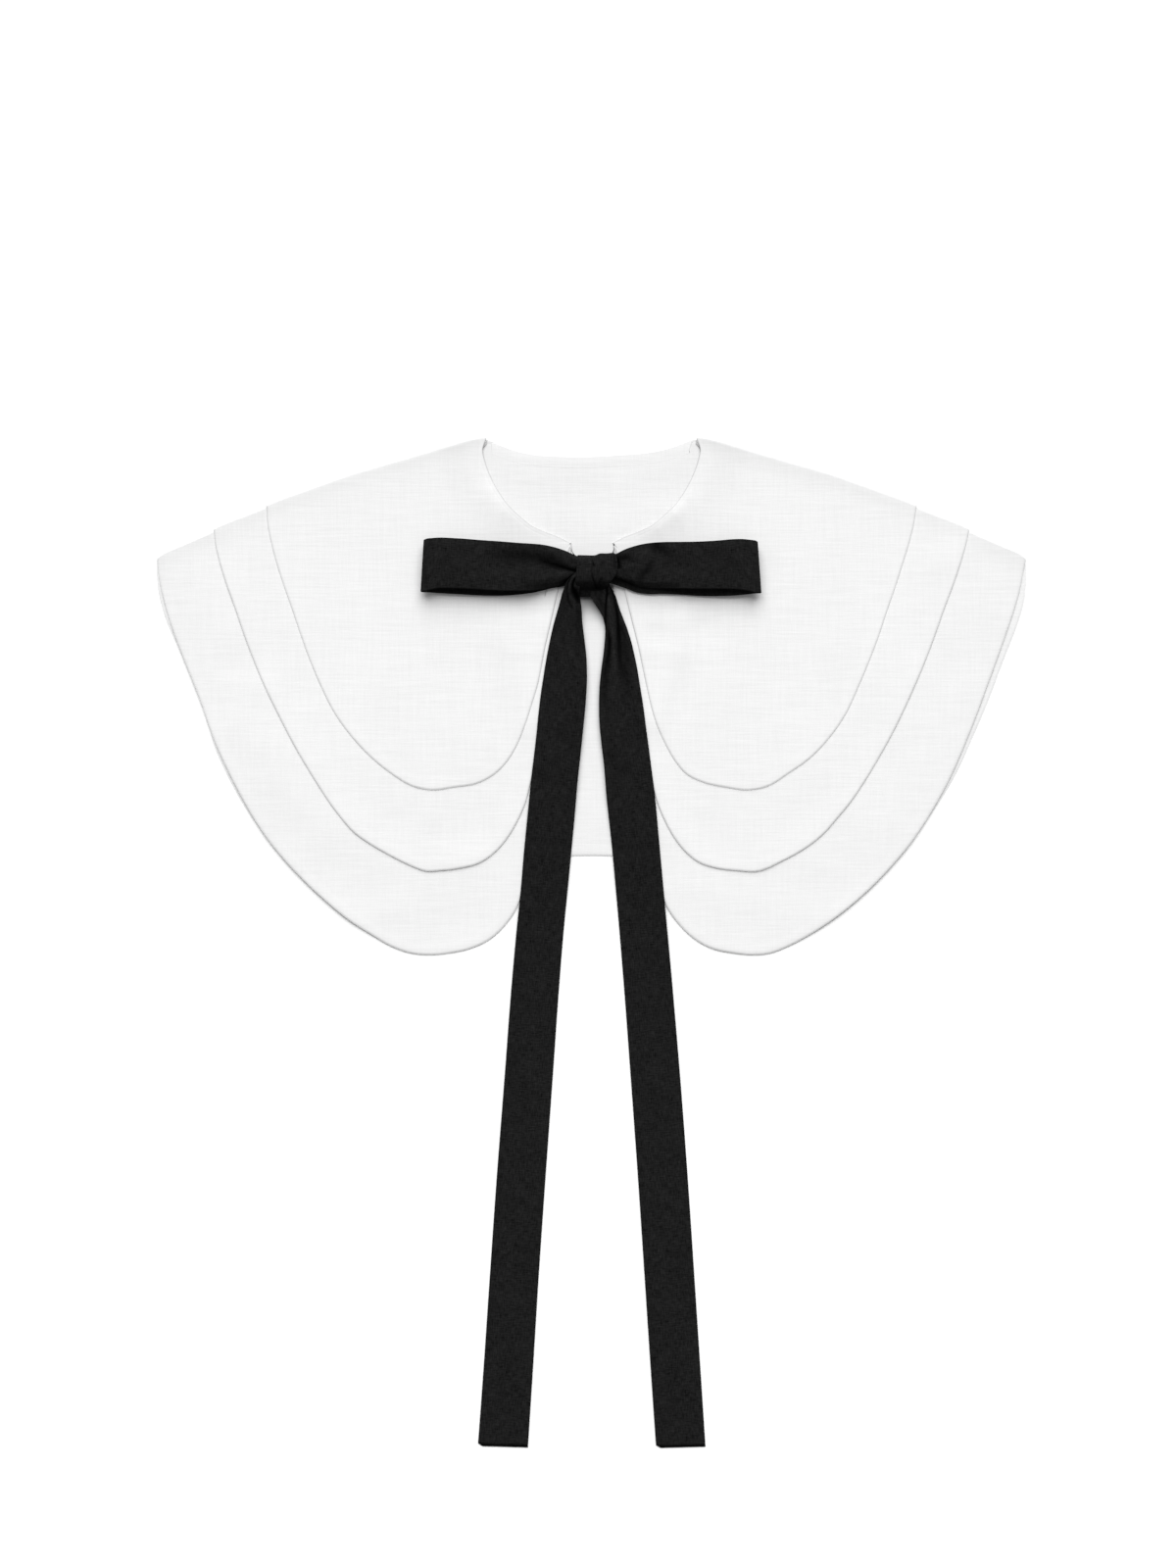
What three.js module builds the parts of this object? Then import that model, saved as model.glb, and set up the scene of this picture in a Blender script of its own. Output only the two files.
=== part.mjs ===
// Detachable collar: three nested tiers of white linen, closed at the back and open at the front, with
// a black self-fabric tie knotted in a bow. It lies flat, folded along both shoulders, its fronts on top
// of its back. Millimetres, +Z up. X runs across it, Y from the ends of the tie up to the neck, and it
// lies on Z = 0.
import * as THREE from 'three';

// Cloth, and the space between pieces
const PLY = 1.0;             // a tier: two layers of linen sewn together round the edge and turned
const TIE_PLY = 1.2;         // the tie: a tube of cloth, pressed flat
const GAP = 0.3;             // between one piece and the next
const SHOULDER_GAP = 0.9;    // open space between the back and the fronts, inside the shoulder folds
const TIE_GAP = 0.5;         // under the tie, which lies over several hems
const DROP_WIDTH = 25;       // beyond a hem underneath, the cloth on top comes down over this width

// How finely the cloth is divided
const FRONT_RIBS = 28;
const BACK_RIBS = 26;
const FOLD_STEPS = 5;
const ROWS_TO_UPPER_HEM = 3;
const ROWS_TO_NEXT_HEM = 2;
const HEM_STEPS = 48;        // straight steps of a hem where heights are worked out from it
const TAIL_STEPS = 24;
const TAIL_CROWDING = 1.4;   // its steps are shorter near the knot, where it curves most
const TAIL_STRIPS = 3;
const LOOP_STEPS = 9;
const LOOP_END_STEPS = 6;
const KNOT_SEGMENTS = [20, 10];
const CURVE_DIVISIONS = 600; // for even distances along a curve
const SEARCH_STEPS = 400;    // for the place on a curve nearest to a point
const FOLD_PULL = 6;         // how near the fold the ribs bend to follow the shoulder line

const CENTRE_LINE = 0;
const FRONT_CORNER = [17.2, 326];
const SHOULDER_POINT = [86.4, 407.2];

// Outlines of the right half. Columns: distance out from the centre line, distance up.
const FRONT_NECK = [
  FRONT_CORNER, [27, 331], [37.2, 334.9], [49.2, 340.5], [58.4, 348], [66.6, 355.6],
  [75.2, 367.2], [82.4, 380.8], [87, 393.6], [88.3, 401.5], SHOULDER_POINT,
];
const BACK_NECK = [
  SHOULDER_POINT, [80, 406.4], [74.4, 405.2], [63.2, 401.8], [49.6, 398.4], [38, 397], [17, 396.2],
  [CENTRE_LINE, 396],
];
const SHOULDER_LINE = [
  SHOULDER_POINT, [141.2, 393.2], [197.2, 376.8], [237.2, 362.6], [265.6, 351.4], [293.2, 339.8],
  [308.4, 333.1], [333.2, 321.6], [352.8, 312.4],
];

// Hems of the tiers, upper, middle and lower. The fronts run from the front corner down the front edge,
// round the lobe and up to the shoulder, and the backs from the shoulder down to the centre line.
const FRONT_HEMS = [
  [
    FRONT_CORNER, [38.6, 241.6], [53.6, 177.6], [61.2, 160], [68.8, 147.2], [78, 137.6], [92, 130.4],
    [112, 126.4], [127.6, 124], [145.2, 127.6], [161.6, 137.6], [178.4, 150.4], [194.4, 167.2],
    [207.6, 185.6], [219.4, 209.6], [235.2, 249.6], [249, 289.6], [261.2, 329.6], [265.6, 351.4],
  ],
  [
    FRONT_CORNER, [34.6, 223.6], [50.8, 125.6], [60.2, 99.2], [68, 85.6], [78, 73.6], [89.5, 65.2],
    [103.8, 60.8], [120.4, 58.8], [137.6, 58.4], [153.8, 65.6], [182.2, 81.6], [202, 101.6],
    [222.2, 129.6], [241.7, 161.6], [257.7, 193.6], [271.6, 225.6], [289.5, 273.6], [303.6, 313.6],
    [308.4, 333.1],
  ],
  [
    FRONT_CORNER, [38.8, 178], [60, 32], [71.8, 14.4], [83.8, 2.8], [98.6, -4.8], [115.2, -8.4],
    [132.8, -10], [146, -8.8], [161.2, -3.2], [196.4, 17.6], [234.4, 49.6], [262, 81.6],
    [282.3, 113.6], [298.6, 145.6], [311.8, 177.6], [323.6, 209.6], [335.5, 241.6], [346.4, 273.6],
    [352.8, 296], [352.8, 312.4],
  ],
];
const BACK_HEMS = [
  [
    [265.6, 351.4], [261.5, 330], [249, 290], [236, 252], [220, 213], [200, 180], [180, 162],
    [160, 156], [140, 156], [104, 164], [60, 175], [30, 180.5], [CENTRE_LINE, 182.4],
  ],
  [
    [308.4, 333.1], [304, 312], [290, 272], [272, 226], [256, 190], [238, 157], [218, 130],
    [200, 112], [182, 103], [160, 101], [128, 107], [80, 117], [40, 124], [CENTRE_LINE, 126.4],
  ],
  [
    [352.8, 312.4], [354.8, 297.6], [348.8, 262.4], [334.4, 226.4], [317.2, 183.2], [301.2, 144.8],
    [277.2, 104], [253.2, 68.8], [237.2, 50.4], [228.8, 43.2], [216, 38.4], [200, 38.4],
    [176, 42.4], [128, 53.6], [80, 64], [40, 69.2], [CENTRE_LINE, 70.8],
  ],
];
const TIER_NAMES = ['tier_upper', 'tier_middle', 'tier_lower'];
const TIERS = TIER_NAMES.length;

// Binding along the inside of the back neck
const BINDING_WIDTH = 9.2;
const BINDING_HALF_LENGTH = 78;
const BINDING_STEPS = 20;

// The knot, a cushion with rounded corners
const KNOT_CENTRE = [2, 300.4];
const KNOT_SIZE = [36, 33.6, 13];
const KNOT_UNDERSIDE = 10.1;
const KNOT_SQUARENESS = 4;

// The loops of the bow. Columns: share of the way out from the knot, upper edge, lower edge, height of the
// middle of the lower layer and of the upper one.
const LOOP_SECTIONS = [
  [0.00, 315.0, 293.0, 11.6, 14.2],
  [0.10, 320.4, 289.6, 9.9, 15.2],
  [0.22, 324.8, 286.4, 9.2, 16.2],
  [0.40, 326.6, 284.2, 9.2, 16.8],
  [0.74, 328.6, 284.0, 9.2, 17.0],
  [0.88, 329.6, 284.6, 9.3, 17.0],
  [1.00, 328.6, 286.0, 9.4, 17.0],
];
const LOOP_END = 138;

// The hanging ends of the tie, laid down over the fronts. Columns: distance up, left edge, right edge.
const TAILS = {
  tie_tail_left: [
    [292.0, -17.0, -4.5], [282.4, -24.4, -7.2], [273.6, -27.2, -7.6], [257.6, -32.0, -6.8],
    [241.6, -35.2, -4.4], [209.6, -41.2, -3.6], [177.6, -44.8, -5.6], [129.6, -50.4, -11.0],
    [81.6, -54.8, -15.2], [17.6, -60.8, -21.6], [-14.4, -63.6, -24.6], [-350.4, -87.2, -48.0],
    [-409.6, -91.6, -52.0],
  ],
  tie_tail_right: [
    [292.0, 2.0, 15.5], [282.4, 3.2, 21.2], [273.6, 6.0, 24.0], [257.6, 10.0, 29.2],
    [241.6, 9.2, 33.6], [209.6, 6.0, 40.0], [177.6, 5.6, 44.8], [129.6, 10.8, 51.2],
    [81.6, 15.8, 56.2], [33.6, 20.4, 60.2], [-350.4, 49.2, 88.8], [-411.0, 53.4, 92.6],
  ],
};

// The sewn ends of the tie, from the front corners to the underside of the knot.
// Columns: distance out, distance up, width.
const TIE_ROOT = [
  [18.6, 323.6, 3], [14.5, 316, 7], [9, 307.5, 10],
];

// Colours and finish
const LINEN = new THREE.MeshStandardMaterial({ color: 0xf4f4f3, roughness: 0.9, metalness: 0 });
const BLACK_CLOTH = new THREE.MeshStandardMaterial({ color: 0x1c1c1e, roughness: 0.85, metalness: 0 });

const smoothCurve = (rows) => {
  const curve = new THREE.CatmullRomCurve3(rows.map(([out, up]) => new THREE.Vector3(out, up, 0)));
  curve.arcLengthDivisions = CURVE_DIVISIONS;
  return curve;
};
const frontNeck = smoothCurve(FRONT_NECK);
const backNeck = smoothCurve(BACK_NECK);
const shoulderLine = smoothCurve(SHOULDER_LINE);
const frontHems = FRONT_HEMS.map(smoothCurve);
const backHems = BACK_HEMS.map(smoothCurve);

// Closed outlines of straight steps round each front and each whole back, for heights
const straightSteps = (curve) => curve.getSpacedPoints(HEM_STEPS);
const foldUpTo = (end) => straightSteps(shoulderLine).filter((point) => point.x < end.x);
const mirrored = (points) => points.map((point) => new THREE.Vector3(-point.x, point.y, 0)).reverse();
const frontOutlines = frontHems.map((hem) => [
  ...straightSteps(frontNeck), ...foldUpTo(hem.getPointAt(1)), ...straightSteps(hem).reverse(),
]);
const backOutlines = backHems.map((hem) => {
  const half = [
    ...straightSteps(backNeck).reverse(), ...foldUpTo(hem.getPointAt(0)), ...straightSteps(hem),
  ];
  return [...half, ...mirrored(half)];
});

// 1 over an outline, falling smoothly to 0 at the drop width outside it
function cover(outline, x, y) {
  let inside = false;
  let nearest = Infinity;
  outline.forEach((a, index) => {
    const b = outline[(index + 1) % outline.length];
    const [stepX, stepY] = [b.x - a.x, b.y - a.y];
    if ((a.y > y) !== (b.y > y) && x < a.x + ((y - a.y) * stepX) / stepY) inside = !inside;
    const length2 = stepX ** 2 + stepY ** 2;
    const along = length2 ? ((x - a.x) * stepX + (y - a.y) * stepY) / length2 : 0;
    const t = THREE.MathUtils.clamp(along, 0, 1);
    nearest = Math.min(nearest, Math.hypot(x - a.x - t * stepX, y - a.y - t * stepY));
  });
  return inside ? 1 : 1 - THREE.MathUtils.smoothstep(nearest, 0, DROP_WIDTH);
}

// Heights of the undersides. The upper tier is outermost in the fold: lowest at the back and highest in
// front.
function backHeight(tier, x, y) {
  let height = 0;
  for (let below = 0; below < tier; below += 1) height += (PLY + GAP) * cover(backOutlines[below], x, y);
  return height;
}
function topOfBacks(x, y) {
  const last = TIERS - 1;
  return backHeight(last, x, y) + (PLY + SHOULDER_GAP) * cover(backOutlines[last], x, y);
}
const frontHeight = (tier, x, y) => topOfBacks(x, y) + (PLY + GAP) * (TIERS - 1 - tier);
function pileHeight(x, y) {
  const fronts = frontOutlines.reduce((sum, outline) => sum + cover(outline, Math.abs(x), y), 0);
  return topOfBacks(x, y) + (PLY + GAP) * fronts;
}

// The rows of a tier between the neck edge and its hem: which two curves a row lies between, and how far
function rowsOf(tier) {
  const rows = [{ stage: 0, share: 0 }];
  for (let stage = 0; stage <= tier; stage += 1) {
    const count = stage === 0 ? ROWS_TO_UPPER_HEM : ROWS_TO_NEXT_HEM;
    for (let row = 1; row <= count; row += 1) rows.push({ stage, share: row / count });
  }
  return rows;
}

// The shoulder line between two of the curves that end on it
function shoulderAt(ends, stage, shareBetween) {
  const shareOf = (point) => {
    let best = 0;
    for (let step = 0; step <= SEARCH_STEPS; step += 1) {
      const share = step / SEARCH_STEPS;
      const near = shoulderLine.getPointAt(share).distanceTo(point);
      if (near < shoulderLine.getPointAt(best).distanceTo(point)) best = share;
    }
    return best;
  };
  const from = shareOf(ends[stage]);
  const to = shareOf(ends[stage + 1]);
  return shoulderLine.getPointAt(THREE.MathUtils.lerp(from, to, shareBetween));
}

// Points on a front or back panel. Near the fold the ribs bend to follow the shoulder line.
const shoulderEnds = [frontNeck.getPointAt(1), ...frontHems.map((hem) => hem.getPointAt(1))];
const shoulderRows = rowsOf(TIERS - 1).map(({ stage, share }) => shoulderAt(shoulderEnds, stage, share));
function panelPoint(curves, along, nearness, row, { stage, share }) {
  const from = curves[stage].getPointAt(along);
  const to = curves[stage + 1].getPointAt(along);
  const straight = shoulderEnds[stage].clone().lerp(shoulderEnds[stage + 1], share);
  const bend = shoulderRows[row].clone().sub(straight).multiplyScalar(nearness ** FOLD_PULL);
  return from.clone().lerp(to, share).add(bend);
}

// A wall of even thickness over a grid of middle points with the outward direction at each.
// A column of one point closes the grid to a corner.
function wall(columns, thickness) {
  const positions = [];
  const cornerAt = (place, distance) => {
    positions.push(...place.point.clone().addScaledVector(place.out, distance));
    return positions.length / 3 - 1;
  };
  const outer = columns.map((column) => column.map((place) => cornerAt(place, thickness / 2)));
  const inner = columns.map((column) => column.map((place) => cornerAt(place, -thickness / 2)));
  const triangles = [];
  const face = (a, b, c) => {
    if (a !== b && b !== c && c !== a) triangles.push(a, b, c);
  };
  const quad = (a, b, c, d) => {
    face(a, b, c);
    face(a, c, d);
  };
  const rows = Math.max(...columns.map((column) => column.length));
  const at = (column, row) => Math.min(row, column.length - 1);
  for (let index = 0; index + 1 < columns.length; index += 1) {
    const [outerA, outerB] = [outer[index], outer[index + 1]];
    const [innerA, innerB] = [inner[index], inner[index + 1]];
    for (let row = 0; row + 1 < rows; row += 1) {
      const [a, nextA] = [at(outerA, row), at(outerA, row + 1)];
      const [b, nextB] = [at(outerB, row), at(outerB, row + 1)];
      quad(outerA[a], outerB[b], outerB[nextB], outerA[nextA]);
      quad(innerA[a], innerA[nextA], innerB[nextB], innerB[b]);
    }
    quad(outerA[0], innerA[0], innerB[0], outerB[0]);
    quad(outerA.at(-1), outerB.at(-1), innerB.at(-1), innerA.at(-1));
  }
  const closeEnd = (top, bottom) => {
    for (let row = 0; row + 1 < top.length; row += 1) {
      quad(top[row], top[row + 1], bottom[row + 1], bottom[row]);
    }
  };
  closeEnd(outer[0], inner[0]);
  closeEnd(inner.at(-1), outer.at(-1));
  return facingOut(positions, triangles);
}

function facingOut(positions, triangles) {
  const corner = (index) => new THREE.Vector3().fromArray(positions, 3 * index);
  let volume = 0;
  for (let t = 0; t < triangles.length; t += 3) {
    volume += corner(triangles[t]).dot(corner(triangles[t + 1]).cross(corner(triangles[t + 2])));
  }
  const geometry = new THREE.BufferGeometry();
  geometry.setAttribute('position', new THREE.Float32BufferAttribute(positions, 3));
  geometry.setIndex(volume > 0 ? triangles : triangles.reverse());
  geometry.computeVertexNormals();
  return geometry;
}

const UP = new THREE.Vector3(0, 0, 1);
const DOWN = new THREE.Vector3(0, 0, -1);
const onSide = (vector, side) => new THREE.Vector3(side * vector.x, vector.y, vector.z);

// One tier: left front, left shoulder fold, back, right shoulder fold, right front
function tierGeometry(tier) {
  const rows = rowsOf(tier);
  const frontCurves = [frontNeck, ...frontHems];
  const backCurves = [backNeck, ...backHems];
  const lift = (point, height) => new THREE.Vector3(point.x, point.y, height + PLY / 2);

  const frontColumn = (rib, side) => {
    const along = rib / FRONT_RIBS;
    const used = rib === 0 ? [rows[0]] : rows;
    return used.map((place, row) => {
      const flat = panelPoint(frontCurves, along, along, row, place);
      return { point: onSide(lift(flat, frontHeight(tier, flat.x, flat.y)), side), out: UP };
    });
  };
  const backColumn = (rib, side) => {
    const along = rib / (BACK_RIBS / 2);
    return rows.map((place, row) => {
      const flat = panelPoint(backCurves, along, 1 - along, row, place);
      return { point: onSide(lift(flat, backHeight(tier, flat.x, flat.y)), side), out: DOWN };
    });
  };
  const foldColumn = (step, side) => rows.map((place, row) => {
    const middle = shoulderRows[row];
    const before = shoulderRows[Math.max(row - 1, 0)];
    const after = shoulderRows[Math.min(row + 1, shoulderRows.length - 1)];
    const outward = new THREE.Vector3(before.y - after.y, after.x - before.x, 0).normalize();
    const top = frontHeight(tier, middle.x, middle.y) + PLY / 2;
    const bottom = backHeight(tier, middle.x, middle.y) + PLY / 2;
    const angle = Math.PI / 2 - (Math.PI * step) / FOLD_STEPS;
    const out = outward.multiplyScalar(Math.cos(angle)).addScaledVector(UP, Math.sin(angle));
    const point = new THREE.Vector3(middle.x, middle.y, (top + bottom) / 2);
    point.addScaledVector(out, (top - bottom) / 2);
    return { point: onSide(point, side), out: onSide(out, side) };
  });

  const columns = [];
  for (let rib = 0; rib <= FRONT_RIBS; rib += 1) columns.push(frontColumn(rib, -1));
  for (let step = 1; step < FOLD_STEPS; step += 1) columns.push(foldColumn(step, -1));
  for (let rib = 0; rib <= BACK_RIBS / 2; rib += 1) columns.push(backColumn(rib, -1));
  for (let rib = BACK_RIBS / 2 - 1; rib >= 0; rib -= 1) columns.push(backColumn(rib, 1));
  for (let step = FOLD_STEPS - 1; step > 0; step -= 1) columns.push(foldColumn(step, 1));
  for (let rib = FRONT_RIBS; rib >= 0; rib -= 1) columns.push(frontColumn(rib, 1));
  return wall(columns, PLY);
}

// A flat strip sewn along the inside of the back neck edge
function bindingGeometry() {
  const columns = [];
  const leftHalf = BACK_NECK.map(([out, up]) => [-out, up]);
  const whole = smoothCurve([...leftHalf, ...BACK_NECK.slice(0, -1).reverse()]);
  const underBinding = (point) => Math.abs(point.x) <= BINDING_HALF_LENGTH;
  const neckPoints = whole.getSpacedPoints(SEARCH_STEPS).filter(underBinding);
  const lastPoint = neckPoints.length - 1;
  for (let step = 0; step <= BINDING_STEPS; step += 1) {
    const index = Math.round((step / BINDING_STEPS) * lastPoint);
    const edge = neckPoints[index];
    const before = neckPoints[Math.max(index - 1, 0)];
    const after = neckPoints[Math.min(index + 1, lastPoint)];
    const inward = new THREE.Vector3(after.y - before.y, before.x - after.x, 0).normalize();
    columns.push([0, BINDING_WIDTH].map((distance) => {
      const place = edge.clone().addScaledVector(inward, distance);
      place.z = backHeight(TIERS - 1, place.x, place.y) + PLY + GAP + PLY / 2;
      return { point: place, out: UP };
    }));
  }
  return wall(columns, PLY);
}

function tableAt(rows, key, column) {
  const ascending = rows[rows.length - 1][0] > rows[0][0];
  const ordered = ascending ? rows : [...rows].reverse();
  const next = ordered.findIndex((row) => row[0] >= key);
  if (next <= 0) return ordered[next === 0 ? 0 : ordered.length - 1][column];
  const before = ordered[next - 1];
  const after = ordered[next];
  return THREE.MathUtils.lerp(before[column], after[column], (key - before[0]) / (after[0] - before[0]));
}

// A loop of the bow: out along the lower layer, round the end and back along the upper one
function loopGeometry(side) {
  const start = side * KNOT_CENTRE[0] + KNOT_SIZE[0] / 2 + GAP;
  const endSection = LOOP_SECTIONS[LOOP_SECTIONS.length - 1];
  const endRadius = (endSection[4] - endSection[3]) / 2;
  const straight = LOOP_END - start - endRadius - TIE_PLY / 2;
  const path = [];
  for (let step = 0; step <= LOOP_STEPS; step += 1) {
    const share = step / LOOP_STEPS;
    path.push({ share, x: start + share * straight, z: tableAt(LOOP_SECTIONS, share, 3) });
  }
  for (let step = 1; step < LOOP_END_STEPS; step += 1) {
    const angle = -Math.PI / 2 + (Math.PI * step) / LOOP_END_STEPS;
    path.push({
      share: 1,
      x: start + straight + endRadius * Math.cos(angle),
      z: endSection[3] + endRadius * (1 + Math.sin(angle)),
    });
  }
  for (let step = LOOP_STEPS; step >= 0; step -= 1) {
    const share = step / LOOP_STEPS;
    path.push({ share, x: start + share * straight, z: tableAt(LOOP_SECTIONS, share, 4) });
  }
  const columns = path.map(({ share, x, z }, index) => {
    const before = path[Math.max(index - 1, 0)];
    const after = path[Math.min(index + 1, path.length - 1)];
    const out = new THREE.Vector3(side * (after.z - before.z), 0, before.x - after.x).normalize();
    return [1, 2].map((edge) => ({
      point: new THREE.Vector3(side * x, tableAt(LOOP_SECTIONS, share, edge), z),
      out,
    }));
  });
  return wall(columns, TIE_PLY);
}

function tailGeometry(rows) {
  const top = rows[0][0];
  const bottom = rows[rows.length - 1][0];
  const columns = [];
  for (let step = 0; step <= TAIL_STEPS; step += 1) {
    const y = THREE.MathUtils.lerp(top, bottom, (step / TAIL_STEPS) ** TAIL_CROWDING);
    const column = [];
    for (let strip = 0; strip <= TAIL_STRIPS; strip += 1) {
      const x = THREE.MathUtils.lerp(tableAt(rows, y, 1), tableAt(rows, y, 2), strip / TAIL_STRIPS);
      const pile = pileHeight(x, y);
      const z = pile + TIE_GAP * Math.min(1, pile) + TIE_PLY / 2;
      column.push({ point: new THREE.Vector3(x, y, z), out: UP });
    }
    columns.push(column);
  }
  return wall(columns, TIE_PLY);
}

function rootGeometry(side) {
  const [first, , last] = TIE_ROOT;
  const across = new THREE.Vector3(side * (first[1] - last[1]), last[0] - first[0], 0).normalize();
  const height = frontHeight(0, FRONT_CORNER[0], FRONT_CORNER[1]) + PLY + GAP + TIE_PLY / 2;
  const columns = TIE_ROOT.map(([out, up, width]) => [-1, 1].map((edge) => ({
    point: new THREE.Vector3(side * out, up, height).addScaledVector(across, (edge * width) / 2),
    out: UP,
  })));
  return wall(columns, TIE_PLY);
}

function knotGeometry() {
  const ball = new THREE.SphereGeometry(1, ...KNOT_SEGMENTS);
  const position = ball.getAttribute('position');
  const square = (value) => Math.sign(value) * Math.abs(value) ** (2 / KNOT_SQUARENESS);
  const middle = [...KNOT_CENTRE, KNOT_UNDERSIDE + KNOT_SIZE[2] / 2];
  const sized = (value, axis) => middle[axis] + (square(value) * KNOT_SIZE[axis]) / 2;
  for (let index = 0; index < position.count; index += 1) {
    const place = [position.getX(index), position.getZ(index), position.getY(index)];
    position.setXYZ(index, ...place.map(sized));
  }
  ball.setIndex([...ball.getIndex().array].reverse());
  ball.computeVertexNormals();
  return ball;
}

const collar = new THREE.Group();
function add(name, geometry, material) {
  const mesh = new THREE.Mesh(geometry, material.clone());
  mesh.name = name;
  collar.add(mesh);
}

TIER_NAMES.forEach((name, tier) => add(name, tierGeometry(tier), LINEN));
add('neck_binding', bindingGeometry(), LINEN);
add('tie_root_left', rootGeometry(-1), BLACK_CLOTH);
add('tie_root_right', rootGeometry(1), BLACK_CLOTH);
add('bow_knot', knotGeometry(), BLACK_CLOTH);
add('bow_loop_left', loopGeometry(-1), BLACK_CLOTH);
add('bow_loop_right', loopGeometry(1), BLACK_CLOTH);
Object.entries(TAILS).forEach(([name, rows]) => add(name, tailGeometry(rows), BLACK_CLOTH));

export default collar;
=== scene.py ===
"""A detachable collar of white linen, laid flat, with a black tie knotted in a bow.

Three tiers go in one piece each from the left front, round the left shoulder, across the back and round the
right shoulder to the right front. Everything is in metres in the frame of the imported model: X across, Y from
the ends of the tie up to the neck, Z up from the table.
"""
import math

import bmesh
import bpy
import numpy as np
from bpy.props import FloatProperty, FloatVectorProperty, PointerProperty
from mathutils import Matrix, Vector


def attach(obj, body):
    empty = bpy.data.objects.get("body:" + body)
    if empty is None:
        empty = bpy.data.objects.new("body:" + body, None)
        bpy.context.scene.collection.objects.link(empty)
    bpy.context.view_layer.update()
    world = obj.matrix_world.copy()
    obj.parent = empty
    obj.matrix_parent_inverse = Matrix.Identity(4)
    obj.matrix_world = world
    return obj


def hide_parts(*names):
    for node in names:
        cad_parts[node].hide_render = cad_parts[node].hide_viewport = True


bl_info = {
    "name": "Detachable Collar",
    "version": (1, 0, 0),
    "blender": (4, 5, 0),
    "location": "3D View > Sidebar > Collar",
    "description": "Builds a tiered linen collar with a bow, laid flat on a table",
    "category": "Add Mesh",
}

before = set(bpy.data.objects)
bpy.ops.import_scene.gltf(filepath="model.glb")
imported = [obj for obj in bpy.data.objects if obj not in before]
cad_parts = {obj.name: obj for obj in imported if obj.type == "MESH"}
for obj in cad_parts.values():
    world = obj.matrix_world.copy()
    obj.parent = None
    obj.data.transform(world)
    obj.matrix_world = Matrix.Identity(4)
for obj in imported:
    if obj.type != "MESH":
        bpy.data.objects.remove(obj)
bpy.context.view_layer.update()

# The photograph's frame: one of its pixels in metres, the pixel where X and Y are 0, and the camera above it
PIXEL = 0.0008
MIDDLE_COLUMN = 603.5
ZERO_ROW = 962.0
CAMERA_AIM = (600.0, 800.0)
CAMERA_HEIGHT = 3.0
PHOTO_ROWS = 1600
MM = 0.001

# Measured outlines
# All in the photograph's pixels, apart from heights and the widths of the sewn ends.
# Hems of the fronts from the front corner down the front edge, round the lobe and up to the shoulder.
# Columns: row, distance left of the middle, distance right of it.
FRONT_HEMS = {
    "tier_upper": (
        (554.5, 20.5, 22.5), (612, 36, 35.6), (630, 40, 40.1), (660, 47, 47.6), (700, 55, 56),
        (720, 61, 60.5), (740, 67.5, 66.5), (762, 76.5, 76.5), (778, 86.5, 86), (790, 98.5, 96.5),
        (799, 114.5, 115), (804, 142.5, 138.5), (806.6, 160, 158.5), (802.5, 182.5, 180),
        (790, 203.5, 200), (774, 223.5, 222.5), (753, 243.5, 242.5), (730, 260.5, 258.5),
        (700, 275.9, 272.5), (675, 286.5, 283), (650, 295.6, 292.5), (625, 304, 300.8),
        (600, 312.8, 309.5), (578, 320, 316.5), (550, 327.2, 325), (535, 330, 328.5),
    ),
    "tier_middle": (
        (554.5, 20.5, 22.5), (600, 21.2, 22), (622, 25.5, 26), (650, 33.5, 33.5), (700, 44, 44),
        (805, 63.5, 63.5), (818, 66.8, 66.8), (838, 75.5, 75), (855, 85.5, 84.5), (870, 98.5, 96.5),
        (880.5, 113.5, 110.2), (886, 133.5, 127.5), (888.5, 153.5, 148), (889, 170.5, 171),
        (886, 178.5, 180), (880, 192, 192), (870, 211, 211), (860, 227.8, 226), (850, 241.6, 237.5),
        (835, 255, 250.5), (820, 266.4, 263), (800, 279.5, 276.8), (780, 291.8, 289), (760, 303.3, 300.5),
        (740, 313.7, 311), (720, 323.8, 320.5), (700, 333.3, 329.5), (680, 341.8, 338),
        (650, 353.2, 349.5), (620, 363.4, 360), (600, 370.8, 367.6), (570, 380, 377.6),
        (556, 383.2, 381.6),
    ),
    "tier_lower": (
        (554.5, 20.5, 22.5), (600, 20.4, 21.4), (622, 24, 24.5), (650, 31, 31), (740, 46, 46.5),
        (905, 70.5, 71), (922, 74.5, 75.5), (944, 88, 90), (958.5, 103.5, 105.5), (968, 123.5, 123),
        (972.5, 143.5, 144), (974.5, 165, 165.5), (973, 183, 181.5), (966, 203.5, 200), (954, 224, 222.5),
        (940, 246, 244), (920, 270.5, 269.5), (900, 292, 291), (880, 311, 309.5), (860, 327.6, 326),
        (840, 341.4, 339.6), (820, 353.2, 351.6), (800, 363.9, 362.6), (780, 373.8, 372),
        (760, 382.8, 380.5), (740, 390.2, 388.6), (720, 396.9, 396.2), (700, 404.6, 403.4),
        (680, 412.6, 410.8), (660, 420.5, 418), (640, 427.8, 425), (620, 434, 431.6), (600, 438.8, 437),
        (584, 441.4, 440),
    ),
}
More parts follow.
